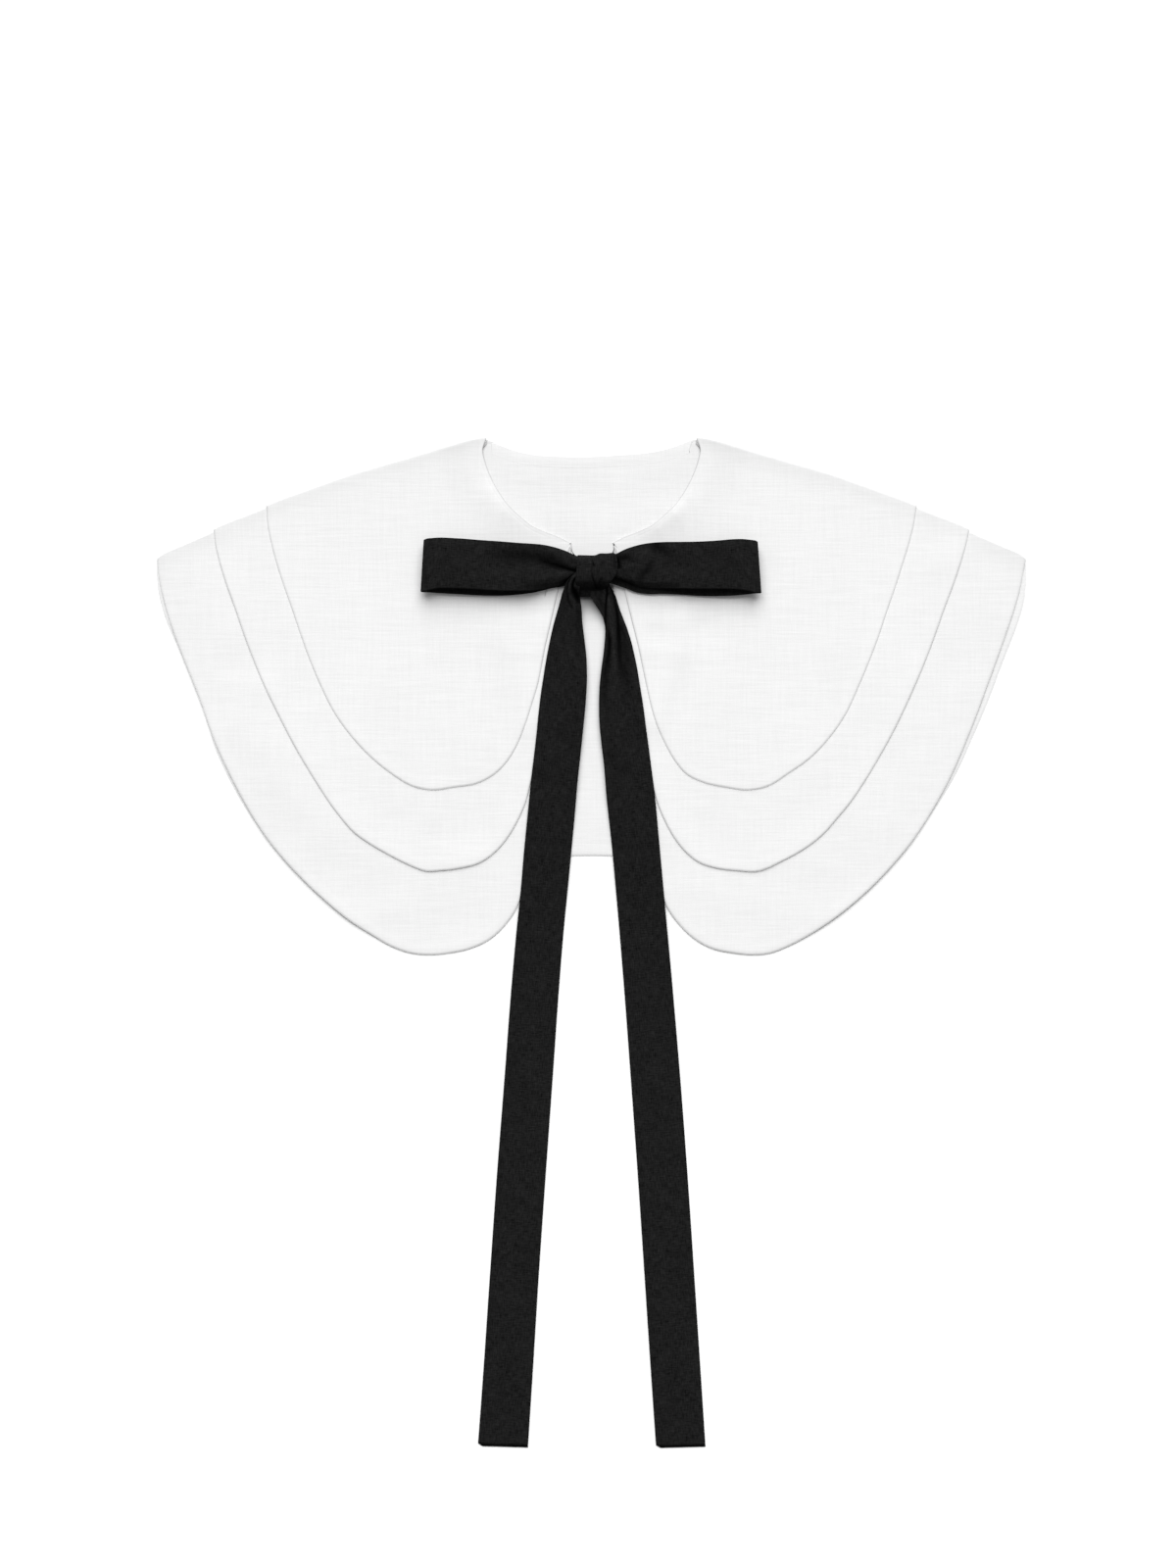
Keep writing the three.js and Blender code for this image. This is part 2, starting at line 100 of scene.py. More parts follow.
# Hems of the backs from the shoulder to the centre line. Columns: row, distance left of the middle, distance
# right of it, or one distance for both.
BACK_HEMS = {
    "tier_upper": (
        (549.5, 326.9), (600, 311), (647, 295), (696, 275), (737, 250), (759.5, 225), (767, 200),
        (767, 175), (757, 130), (743, 75), (736.5, 37.5), (734, 0),
    ),
    "tier_middle": (
        (572, 380), (622, 362.5), (679.5, 340), (724.5, 320), (766, 297.5), (799.5, 272.5), (822, 250),
        (833, 227.5), (836, 200), (828, 160), (816, 100), (807, 50), (804, 0),
    ),
    "tier_lower": (
        (590, 443.5), (613, 439.8, 441.6), (634, 433.6, 435.8), (659, 422.4, 426.3), (679, 413.4, 418.4),
        (704.5, 403.2, 409), (733, 392.8, 397.6), (758, 386.2, 386.5), (781, 376.5), (800, 367, 366.4),
        (815, 358.6, 357.2), (832, 348.4, 346), (848, 337, 335.3), (862.5, 326.5, 325), (876, 316.2, 314),
        (888, 305.6, 303.4), (898, 294.6, 292.8), (905, 284, 282.6), (911, 268), (913, 250), (909, 220),
        (895, 160), (882, 100), (875.5, 50), (873.5, 0),
    ),
}
# The outermost line of each shoulder fold. Columns: row, distance out from the middle.
SHOULDERS = {
    "tier_upper": (
        (447.9, 107.6), (448.9, 116.5), (450.9, 126.5), (453.6, 136.5), (459.5, 156.5), (465.5, 176.5),
        (475.2, 210), (486, 246.5), (496.6, 276.5), (503.8, 296.5), (513.6, 323), (517.5, 331.5),
    ),
    "tier_middle": (
        (450, 107), (453.8, 127.5), (462.4, 157), (468.4, 177), (478, 210), (488.9, 246.5), (499.6, 276.5),
        (507, 297), (514.6, 318), (519.8, 332), (525.5, 346.5), (533, 366.5), (538, 379), (541.8, 385),
    ),
    "tier_lower": (
        (452.5, 106.5), (456.4, 127.5), (465, 157), (471, 177), (480.6, 210), (491.5, 246.5),
        (502.2, 276.5), (517, 318), (528, 346.5), (535.5, 366.5), (542.6, 382), (549.3, 396.5),
        (557.8, 416.5), (565.6, 434.5), (568.2, 439.6), (571.4, 442.6),
    ),
}
# The neck edges of the fronts. Columns: row, distance out from the middle.
FRONT_NECK = (
    (554.5, 21.5), (548.3, 33.7), (543.4, 46.5), (536.4, 61.5), (527, 73), (517.5, 83.3), (503, 94),
    (486, 103), (470, 108.8), (459, 110.8),
)
# The neck edge of the back, its left half and its right one. Columns: row, distance out from the middle.
BACK_NECK_LEFT = (
    (452.3, 98), (454.5, 92.5), (459.4, 79), (462.7, 66), (464.9, 50), (465.8, 34), (466.2, 17), (466, 0),
)
BACK_NECK_RIGHT = (
    (450.6, 98), (453, 92.5), (457.4, 79), (460.6, 66), (462.9, 50), (464, 34), (465.1, 17), (466, 0),
)
# The tie's hanging ends. Columns: row, left edge, right edge.
TAILS = {
    "tie_tail_left": (
        (582, 589, 593.5), (585, 586, 594), (588, 583, 594), (592, 579, 593.5), (596, 576.6, 592.5),
        (600, 575.6, 591.8), (605, 573.8, 591.4), (610, 572.4, 591.8), (620, 569.7, 593.4),
        (635, 565.4, 594.3), (650, 561.9, 596.1), (670, 557.9, 598.3), (690, 554.6, 599),
        (710, 551.6, 598.2), (730, 549.3, 596.5), (750, 547.3, 594.5), (770, 545, 592.4),
        (790, 542.6, 590.2), (830, 538.5, 586.6), (870, 534.6, 582.9), (910, 531.2, 579),
        (950, 527.1, 575.1), (1000, 522.5, 571), (1100, 514.8, 563.9), (1200, 507, 556.7),
        (1300, 500, 549.8), (1400, 493.2, 543.6), (1476.2, 487.6, 538.7),
    ),
    "tie_tail_right": (
        (588, 606, 618.5), (596, 604.5, 622), (602, 602.5, 625), (609, 602.6, 628.4), (614, 605.6, 630),
        (620.5, 609.7, 632), (627, 613.8, 634.5), (633, 616.2, 636.8), (640, 617.6, 639.5),
        (648, 617.4, 642.1), (655, 616.9, 644.2), (665, 616, 646.6), (680, 613.9, 649.8),
        (700, 611.8, 653.1), (720, 611.2, 656.3), (740, 611.8, 658.9), (760, 613.8, 661.6),
        (780, 616.2, 664.2), (812, 618.8, 668.2), (860, 624, 672.7), (920, 629.5, 678.2),
        (1000, 636.2, 685.6), (1100, 643.7, 694.1), (1200, 650.9, 701.6), (1300, 657.6, 708.3),
        (1400, 664.2, 714.9), (1476.8, 669.5, 719.9),
    ),
}
# How high the middle of a hanging end is where it leaves the knot. Columns: row, height in millimetres.
TAIL_HEIGHTS = {
    "tie_tail_left": (
        (582, 18.6), (590, 17.8), (598, 15.4), (606, 13), (616, 11.2), (630, 9.8), (650, 8.6), (1500, 8),
    ),
    "tie_tail_right": (
        (588, 13.2), (600, 11.2), (607, 9.6), (616, 10), (630, 9.6), (650, 8.6), (1500, 8),
    ),
}
# The row where a hanging end starts to lie down, and over how many rows it does so
TAIL_LEAVES = {"tie_tail_left": (596, 74), "tie_tail_right": (606, 70)}
# The bow's loops, by share of the way from the knot to the end. Columns: share, column, upper edge, lower
# edge of the upper layer, lower edge of the lower layer.
LOOPS = {
    "bow_loop_left": (
        (0, 597, 569.5, 583, 588), (0.045, 590, 567.8, 585, 589), (0.08, 584.5, 565.6, 588.6, 592.5),
        (0.12, 579, 562.9, 593, 596.4), (0.16, 573.5, 560.8, 597.6, 598.6), (0.22, 564.5, 558, 599.6, 600),
        (0.3, 553, 555.7, 601.4, 602.8), (0.38, 543, 554.8, 602.6, 605), (0.46, 530, 554, 603, 606.7),
        (0.58, 511, 552.5, 602.8, 607.9), (0.7, 490, 551.1, 601.6, 607.6),
        (0.82, 468, 549.4, 600.4, 606.3), (0.92, 448, 548.5, 600.4, 605.2),
        (1, 436.4, 549.2, 603.2, 604.4),
    ),
    "bow_loop_right": (
        (0, 612, 569.5, 585, 590), (0.06, 622, 567, 588, 594.6), (0.11, 629, 564.9, 591, 597.2),
        (0.16, 637, 560.9, 594.4, 599.9), (0.23, 649, 556.8, 598.4, 604.4),
        (0.3, 660, 554.5, 600.2, 606.2), (0.4, 676, 553.1, 600.4, 606.1), (0.5, 694, 552.9, 600.5, 606.9),
        (0.62, 712, 552.6, 600.9, 608.1), (0.74, 731, 551.7, 601, 608.3), (0.84, 748, 550.3, 601.2, 607.7),
        (0.92, 759, 550, 602.6, 606.7), (1, 769.4, 551, 604.9, 605.5),
    ),
}
# How much further right the lower corner of a loop's end is than the upper one
LOOP_END_SLANT = {"bow_loop_left": -2.5 * MM, "bow_loop_right": 3.0 * MM}
# The sewn ends of the tie, from a front corner into the knot. Columns: column, row, width in millimetres.
TIE_ROOTS = {
    "tie_root_left": (
        (583, 558, 0.15), (583.8, 563, 0.4), (586, 567, 2), (590, 572, 6), (597, 580, 10),
    ),
    "tie_root_right": (
        (626.2, 558.5, 0.2), (626, 562.5, 0.6), (624.4, 565.5, 1.6), (620, 571, 5), (612, 580, 10),
    ),
}
# Once round the knot: down its front and up behind it. Columns: row, height in millimetres, left edge, right
# edge.
KNOT_ROUND = (
    (566.8, 16.5, 590.5, 627.5), (567.4, 19.2, 590, 628.6), (570, 20.9, 589.4, 629.4),
    (575, 21.6, 588.8, 630.2), (581, 21.7, 588.2, 629.8), (587, 21.4, 587.8, 628),
    (592, 20.2, 587.2, 624.4), (595.2, 18, 587, 622.2), (598.4, 14.8, 587.2, 619.6),
    (601.6, 11.6, 587.8, 616), (605, 9, 588.8, 610.5), (607.6, 7.4, 590.4, 604.5), (608.4, 6.4, 591, 602),
    (605, 5.9, 588.5, 612), (596, 5.8, 586.5, 622), (585, 5.9, 586, 628), (574, 6.6, 587, 629),
    (567.6, 9, 589, 628), (566.6, 12.8, 590.2, 627.6),
)
# The outline of its top. Columns: column, how much lower it is than the first row above, in pixels.
KNOT_TOP = (
    (585, 0.4), (592, 0.6), (600, 1.5), (604, 2.6), (607, 1), (611, -1), (619, -1.4), (626, -1.8),
    (632, 0),
)
# Creases (height below 0) and ridges of the cloth. Each is a path of stations: column, row, half width in
# pixels, height in millimetres.
LINEN_FOLDS = (
    ((495, 452, 13, 0.3), (496, 462, 13, 0.3)), ((712, 452, 13, 0.4), (711, 462, 13, 0.4)),
    ((502, 508, 15, 0.9), (516, 520, 15, 1.5), (540, 536, 14, 0.9), (556, 545, 14, 0.2)),
    ((700, 512, 12, 0.9), (688, 524, 13, 2), (670, 536, 12, 1.7), (650, 545, 12, 0.1)),
    ((512, 640, 15, 0.8), (556, 640, 15, 0.8)), ((664, 632, 12, 0.7), (692, 634, 12, 0.7)),
    ((512, 664, 12, 0.5), (552, 666, 12, 0.5)), ((664, 664, 12, 0.5), (700, 668, 12, 0.5)),
    ((960, 574, 18, 0.7), (1010, 554, 18, 0.7)), ((236, 700, 14, 0.5), (268, 702, 14, 0.5)),
    ((455, 876, 14, 0.5), (490, 874, 14, 0.5)), ((512, 628, 20, 0.9), (540, 735, 20, 0.9)),
    ((702, 625, 14, 1), (668, 735, 14, 1)), ((195, 585, 22, 0.7), (230, 650, 22, 0.7)),
    ((1005, 590, 22, 0.7), (985, 650, 22, 0.7)), ((250, 735, 24, 0.8), (330, 850, 24, 0.8)),
    ((985, 700, 24, 0.6), (900, 850, 24, 0.6)),
)
TIE_FOLDS = {
    "bow_loop_left": (
        ((500, 569, 8, -0.8), (520, 571, 9, -3), (545, 571, 8, -3.6), (564, 575, 6, -2.8),
         (578, 579, 3, -1), (592, 583, 2, -0.4)),
        ((552, 574.5, 4, -0.6), (562, 577, 3, -1.8), (575, 580, 2.2, -2.4), (585, 582.4, 1.4, -2),
         (592, 584, 1.2, -1.4)),
        ((552, 590, 8, 0.6), (576, 587, 4, 0.9)), ((560, 561, 6, 0.6), (588, 571, 4, 0.8)),
        ((434, 575, 3, -0.5), (434, 598, 3, -0.7)),
        ((589, 585, 0.9, -1.2), (583, 588.8, 1.3, -2.2), (577, 593.5, 1.9, -3), (570, 599, 2, -2)),
        ((536, 598, 3, -0.5), (575, 592, 3, -0.7)),
    ),
    "bow_loop_right": (
        ((629.4, 570, 1.2, -0.8), (630.6, 575, 2, -2.6), (631.4, 579, 2.2, -2.6)),
        ((632, 572, 5, -2.8), (643, 571, 4, -1.4)),
        ((623, 589.4, 1.2, -1.6), (634, 591.4, 1.5, -1.8), (646, 595, 2, -1.2)),
        ((624, 593, 2, -0.4), (636, 596, 3, -0.9), (648, 599, 3.4, -1.2), (660, 600, 3, -0.5)),
        ((663, 555, 4, -1.6), (671, 561, 5, -2.6), (684, 570, 6, -1.2), (700, 580, 8, -0.4)),
        ((664, 576, 3, -0.9), (660, 584, 4, -2), (654, 592, 4, -1.8)),
        ((640, 580, 8, 0.6), (655, 569, 8, 0.6)), ((712, 566, 14, -0.7), (738, 578, 12, -0.9)),
    ),
    "bow_knot": (
        ((604, 566, 1.6, -0.8), (604.2, 571, 1.3, -0.3), (604.8, 577, 1.2, -0.5), (603.6, 583, 1.1, -0.25),
         (604.2, 588, 1.1, -0.8), (608.5, 600, 1.6, -1.6)),
        ((605, 574.4, 0.8, -0.6), (606.2, 577, 0.9, -1.1)), ((601.8, 574, 1.2, 0.7), (604, 575, 1, 0.5)),
        ((594, 570, 3, 0.5), (600, 570, 3, 0.5)), ((613, 592, 1.8, -0.8), (611, 601, 1.8, -1)),
        ((626.5, 568, 1.5, -0.5), (628, 580, 1.5, -0.8)),
    ),
    "tie_tail_left": (
        ((590.5, 587, 1.1, -1.4), (586, 591.5, 1.1, -1.8), (583.9, 598, 1.1, -2.2),
         (586.2, 604, 2.8, -4.6), (588.4, 609, 2.8, -5), (590.2, 615, 1.6, -1.4)),
        ((590, 585, 1, 0.9), (584, 590.5, 1.1, 1.1), (581.4, 597, 1.2, 1.2), (580.8, 604, 1.4, 1.2),
         (582.6, 612, 1.6, 0.8), (584.6, 618, 2, 0.3)),
        ((590.4, 589, 1, 0.7), (587.2, 595, 1, 1), (587, 600, 1.2, 0.6)),
        ((582.5, 590, 0.9, -0.8), (579.4, 596, 1, -0.9), (578.6, 604, 1.2, -0.6), (580, 614, 1.4, -0.8),
         (583.5, 620, 1.4, -0.8)),
        ((587, 618, 1.6, 0.4), (586, 628, 2.5, 0.3)),
        ((590, 626, 2.6, -0.9), (590.5, 650, 3, -0.7), (588, 672, 4, -0.3)),
        ((592, 770, 6, -0.9), (572, 752, 6, -0.5)), ((548, 792, 7, -0.7), (566, 800, 7, -0.5)),
        ((556, 760, 8, 0.5), (584, 796, 8, 0.5)), ((566, 668, 6, -0.5), (572, 700, 6, -0.4)),
    ),
    "tie_tail_right": (
        ((616.4, 599, 1.2, 0.8), (616.4, 608, 1.4, 0.8), (615.6, 616, 1.6, 0.3)),
        ((618.6, 597, 1, -1.6), (619.4, 606, 1, -2.2), (618.2, 618, 1, -2.2), (617.8, 632, 1.1, -1.8),
         (618.6, 642, 1.2, -0.8)),
        ((621.2, 610, 1.8, 0.9), (621.6, 625, 2, 1.2), (623, 640, 2.2, 0.9), (626.4, 655, 2.2, 1.2),
         (626.8, 672, 2.2, 0.9), (626.6, 700, 3, 0.2)),
        ((622.6, 598, 1.2, -0.9), (626, 608, 1.2, -1.2), (628.6, 620, 1.3, -1.5), (630.4, 632, 1.6, -2.2),
         (631.2, 648, 1.8, -2.6), (632, 664, 2, -2), (634, 690, 2.8, -0.6)),
        ((620.6, 644, 1.4, -0.6), (622.2, 654, 1.6, -2.4), (621.6, 666, 1.9, -2.4), (619, 682, 2.6, -1.8),
         (617.4, 700, 3.2, -1.4), (616, 724, 4, -0.4)),
        ((626, 775, 7, -1), (634, 792, 7, -0.7)), ((648, 780, 7, 0.7), (656, 798, 7, 0.5)),
        ((611, 611, 1.6, -0.9), (614.5, 620, 1.4, -0.5)), ((633, 628, 1.2, 0.4), (638, 645, 1.6, 0.4)),
        ((635, 642, 3.5, -1.4), (637, 668, 4.5, -1.9), (638, 694, 5, -1.7), (642, 720, 6, -0.4)),
    ),
}

# Sizes of the tiers
TIERS = ("tier_upper", "tier_middle", "tier_lower")
SIDES = (-1, 1)
# Faces across a front and across the back, and down both between the fine steps at their edges
COLUMN_COUNTS = {"tier_upper": (120, 80), "tier_middle": (140, 90), "tier_lower": (160, 104)}
INNER_ROWS = {"tier_upper": 30, "tier_middle": 38, "tier_lower": 46}
FOLD_COLUMNS = 9             # faces round a shoulder fold
# Distances of the fine steps from a hem, and from a neck edge
EDGE_STEPS = tuple(step * MM for step in (0, 0.03, 0.12, 0.35, 0.9, 2.2, 4.5, 6.8, 8.2, 10))
NECK_STEPS = tuple(step * MM for step in (0, 0.03, 0.12, 0.35, 0.9, 2.1, 2.8, 3.2, 3.6, 4.6, 7, 10))
NECK_RUN = 40 * MM           # near the neck seam the layers close up over this distance
NECK_CLOSENESS = 0.6         # there they are this share of their usual distance apart
NECK_THIN = 0.6              # and a layer has this share of its thickness
NECK_THIN_RUN = 26 * MM      # which it regains over this distance
REST_RUN = 70 * MM           # beyond a hem underneath, the cloth on top comes down over this distance
FLAT_HEM_RUN = 22 * MM       # beside its back hem a tier lies flat over this distance
SHOULDER_GAP = 1.6 * MM      # extra room between back and fronts, times closeness less its value at the neck
FRONT_GAP = 0.1 * MM         # and this much everywhere
LIFT_RUN = 26 * MM           # a hem of a front stands off what is below over this distance
LIFT_START = 15 * MM         # it does so from this far beside the middle line, and fully after the next value
LIFT_START_RUN = 35 * MM
LIFT_AT_SHOULDER = 0.45      # near the shoulder it stands off by this share, over the next distance
LIFT_SHOULDER_RUN = 60 * MM
UNEVEN = 0.35                # how far it stands off varies by this share, in waves of these lengths
UNEVEN_ACROSS = 19 * MM
UNEVEN_ALONG = 27 * MM
UNEVEN_PHASES = (1.0, 0.4)   # which start at these angles
HEM_LIFTS = (0.1, 1.3, 0.9)  # of each tier, as shares of the usual lift
HEM_ROLL = (1.0 * MM, 0.9 * MM, 1.2 * MM)   # over this width each tier's hem goes down onto what is below
HEM_THIN = (0.22, 0.3, 0.4)  # thickness of each tier at its front hem, as a share of its usual one
SIDE_HEM_THIN = 0.45         # the same where the hem runs down a side
INNER_HEM_THIN = 0.9         # and where it runs down beside the middle line
BACK_HEM_THIN = 0.15
INNER_REACH = 30 * MM        # up to this far from the middle line, and fading over the next distance
INNER_FADE = 25 * MM
SEAM_EXTRA = 0.16            # the seam allowance inside a hem adds this share of the thickness
SEAM_START = 0.3 * MM        # it lies between these distances from the hem
SEAM_END = 6.8 * MM
SEAM_END_RUN = 1.6 * MM
UNDERSTITCH = 3.2 * MM       # a line of stitches this far from the neck edge
STITCH_WIDTH = 0.35 * MM
STITCH_DEPTH = 0.3
FOLD_DEPTHS = (1.8 * MM, 1.3 * MM, 0.8 * MM)   # how far each tier's fold stands out from front and back
FOLD_BULGE = 1.0 * MM        # and how far it bulges past the line that shows, where the light whitens it
FOLD_SQUARENESS = 0.7
FOLD_AT_NECK = 0.55          # at the neck it has this share of its depth, and all of it beyond this distance
FOLD_TAPER_RUN = 24 * MM
FOLD_REACH = 6 * MM          # its outward direction is taken over this distance
PILE_RUN = 14 * MM           # what lies on the linen comes down over this distance beyond a hem
# Soft waves of the whole pile. Columns: length across and along in metres, phase, share of the height below
WAVES = ((0.043, 0.09, 0.6, 1), (-0.12, 0.037, 2.1, 1), (0.023, -0.031, 4.0, 0.7), (0.017, 0.02, 1.3, 0.5))
WAVE_HEIGHT = 0.09 * MM

# Painted light and shade, as shares of the linen's colour: along the hems, by the shoulder folds, at the neck
# and under the knot.
HEM_SHADES = (1.3, 1.18, 1.08)
SIDE_HEM_SHADES = (0.92, 0.96, 1.1)
INNER_HEM_SHADE = -0.24      # painted shade added beside the middle line
BACK_HEM_SHADE = 1.25
HEM_SHADE_RUN = 1.4 * MM
FOLD_SHADE = 0.085           # painted shade: the cloth is this much darker beside a shoulder fold, less with the distance
FOLD_SHADE_RUN = 9 * MM
FOLD_EDGE_SHADE = 0.85       # painted shade on the fold itself
NECK_SHADE_STEPS = (0.1 * MM, 0.35 * MM, 0.8 * MM, 2.0 * MM)   # distances from the neck edge, which is painted darker as shade
NECK_SHADE = (0.6, 0.8, 0.985, 1)                              # and the share at each
NECK_SLOPE_SHADE = 0.05      # the light would whiten the rise from the neck seam, so it is this much darker
KNOT_FOOT = (600, 606)       # painted shadow: the back is dark around this place under the knot and lighter outwards
KNOT_SHADOW_RUN = 30.4 * MM  # over this distance
KNOT_SHADOW_PAST = 4.8 * MM  # of which this much has passed at that place already, so it isn't quite black


def photo_points(rows, side):
    """Points in plan, in metres, of one side of a table in the photograph's pixels. Columns: row, distance
    left of the middle, distance right of it, or one distance for both."""
    return [(side * row[1 if side < 0 else -1] * PIXEL, (ZERO_ROW - row[0]) * PIXEL) for row in rows]


def photo_place(column, row):
    """A place in the photograph as X and Y on the table"""
    return (column - MIDDLE_COLUMN) * PIXEL, (ZERO_ROW - row) * PIXEL


def seen_at(x, y, height):
    """Positions moved in towards the camera's axis, so that each is seen where its plan says"""
    plan = np.dstack([x, y])
    share = height[..., None] / CAMERA_HEIGHT
    return np.dstack([plan - (plan - photo_place(*CAMERA_AIM)) * share, height])


def ease(value):
    """0 below 0, 1 above 1, and a smooth rise between them"""
    share = np.clip(value, 0, 1)
    return share * share * (3 - 2 * share)


def mix(first, second, share):
    """The first value where the share is 0, the second where it is 1"""
    return first + (second - first) * share


def from_ends(distances):
    """How far each distance along a length is from the nearer end"""
    return np.minimum(distances, distances[-1] - distances)


def smooth_through(keys, values, key):
    """Values at key on a smooth curve through values at rising keys. Values may be rows of numbers."""
    slope = np.gradient(values, keys, axis=0)
    index = np.clip(np.searchsorted(keys, key, "right") - 1, 0, len(keys) - 2)
    run = keys[index + 1] - keys[index]
    t = np.clip((key - keys[index]) / run, 0, 1)
    if values.ndim > key.ndim:
        run, t = run[..., None], t[..., None]
    return (
        (2 * t**3 - 3 * t**2 + 1) * values[index] + (t**3 - 2 * t**2 + t) * run * slope[index]
        + (3 * t**2 - 2 * t**3) * values[index + 1] + (t**3 - t**2) * run * slope[index + 1]
    )


def column_of(table, key, column):
    """A column of a table at the values of key, which its first column holds"""
    rows = np.array(table, float)
    return smooth_through(rows[:, 0], rows[:, column], key)


LEAST_SQUARE = 1e-18         # keeps two points at one place from dividing by 0


def along_segment(x, y, start, end):
    """The nearest place to each point on a straight step, as a share of the step, and the square of how far
    away it is"""
    across, along = np.subtract(end, start)
    x, y = x - start[0], y - start[1]
    t = np.clip((x * across + y * along) / max(across**2 + along**2, LEAST_SQUARE), 0, 1)
    return t, (x - t * across) ** 2 + (y - t * along) ** 2


def folds(x, y, paths):
    """Heights of the creases and ridges in a table of paths, and how sharp they are: height by half width"""
    total, sharp = np.zeros(np.shape(x)), np.zeros(np.shape(x))
    for path in paths:
        nearest, height, half = np.full(np.shape(x), np.inf), np.zeros(np.shape(x)), np.ones(np.shape(x))
        for start, end in zip(path[:-1], path[1:]):
            t, away = along_segment(x, y, photo_place(*start[:2]), photo_place(*end[:2]))
            width = mix(start[2], end[2], t) * PIXEL
            rise = mix(start[3], end[3], t) * MM * np.exp(-away / width**2)
            height = np.where(away < nearest, rise, height)
            half = np.where(away < nearest, width, half)
            nearest = np.minimum(nearest, away)
        total = total + height
        sharp = sharp + height / half
    return total, sharp


class Line:
    """A smooth line in plan through points, read by the distance along it"""

    FINE = 24      # places on the smooth line for each of its points
    COARSE = 60    # places on it in all where a rough line will do

    def __init__(self, points):
        points = np.array(points, float)
        step = np.linalg.norm(np.diff(points, axis=0), axis=1)
        place = np.concatenate([[0], np.cumsum(step)])
        self.points = smooth_through(place, points, np.linspace(0, place[-1], self.FINE * len(points)))
        self.arc = np.concatenate([[0], np.cumsum(np.linalg.norm(np.diff(self.points, axis=0), axis=1))])
        self.length = self.arc[-1]

    def at(self, distance):
        return np.stack([np.interp(distance, self.arc, self.points[:, axis]) for axis in (0, 1)], -1)

    def left(self, distance, reach=1.5 * MM):
        """Unit directions to the left of the line"""
        ahead = self.at(np.minimum(distance + reach, self.length)) - self.at(np.maximum(distance - reach, 0))
        turned = np.stack([-ahead[..., 1], ahead[..., 0]], -1)
        return turned / np.linalg.norm(turned, axis=-1, keepdims=True)

    def coarse(self, count=COARSE):
        return self.at(np.linspace(0, self.length, count))

    def away(self, x, y, count=COARSE):
        """Distance in plan from the line"""
        return distance_to(self.coarse(count), x, y)


def distance_to(line, x, y):
    """Distance in plan to a line of straight steps"""
    nearest = np.full(np.shape(x), np.inf)
    for start, end in zip(line[:-1], line[1:]):
        nearest = np.minimum(nearest, along_segment(x, y, start, end)[1])
    return np.sqrt(nearest)


def inside(outline, x, y):
    """Whether each point in plan lies inside an outline"""
    result = np.zeros(np.shape(x), bool)
    for a, b in zip(outline, np.roll(outline, -1, axis=0)):
        if a[1] != b[1]:
            crossing = a[0] + (y - a[1]) * (b[0] - a[0]) / (b[1] - a[1])
            result ^= ((a[1] > y) != (b[1] > y)) & (x < crossing)
    return result


def cover(outline, x, y, run):
    """1 over an outline, falling smoothly to 0 at the distance run outside it"""
    closed = np.vstack([outline, outline[:1]])
    outside = 1 - ease(distance_to(closed, x, y) / run)
    return np.where(inside(outline, x, y), 1.0, outside)


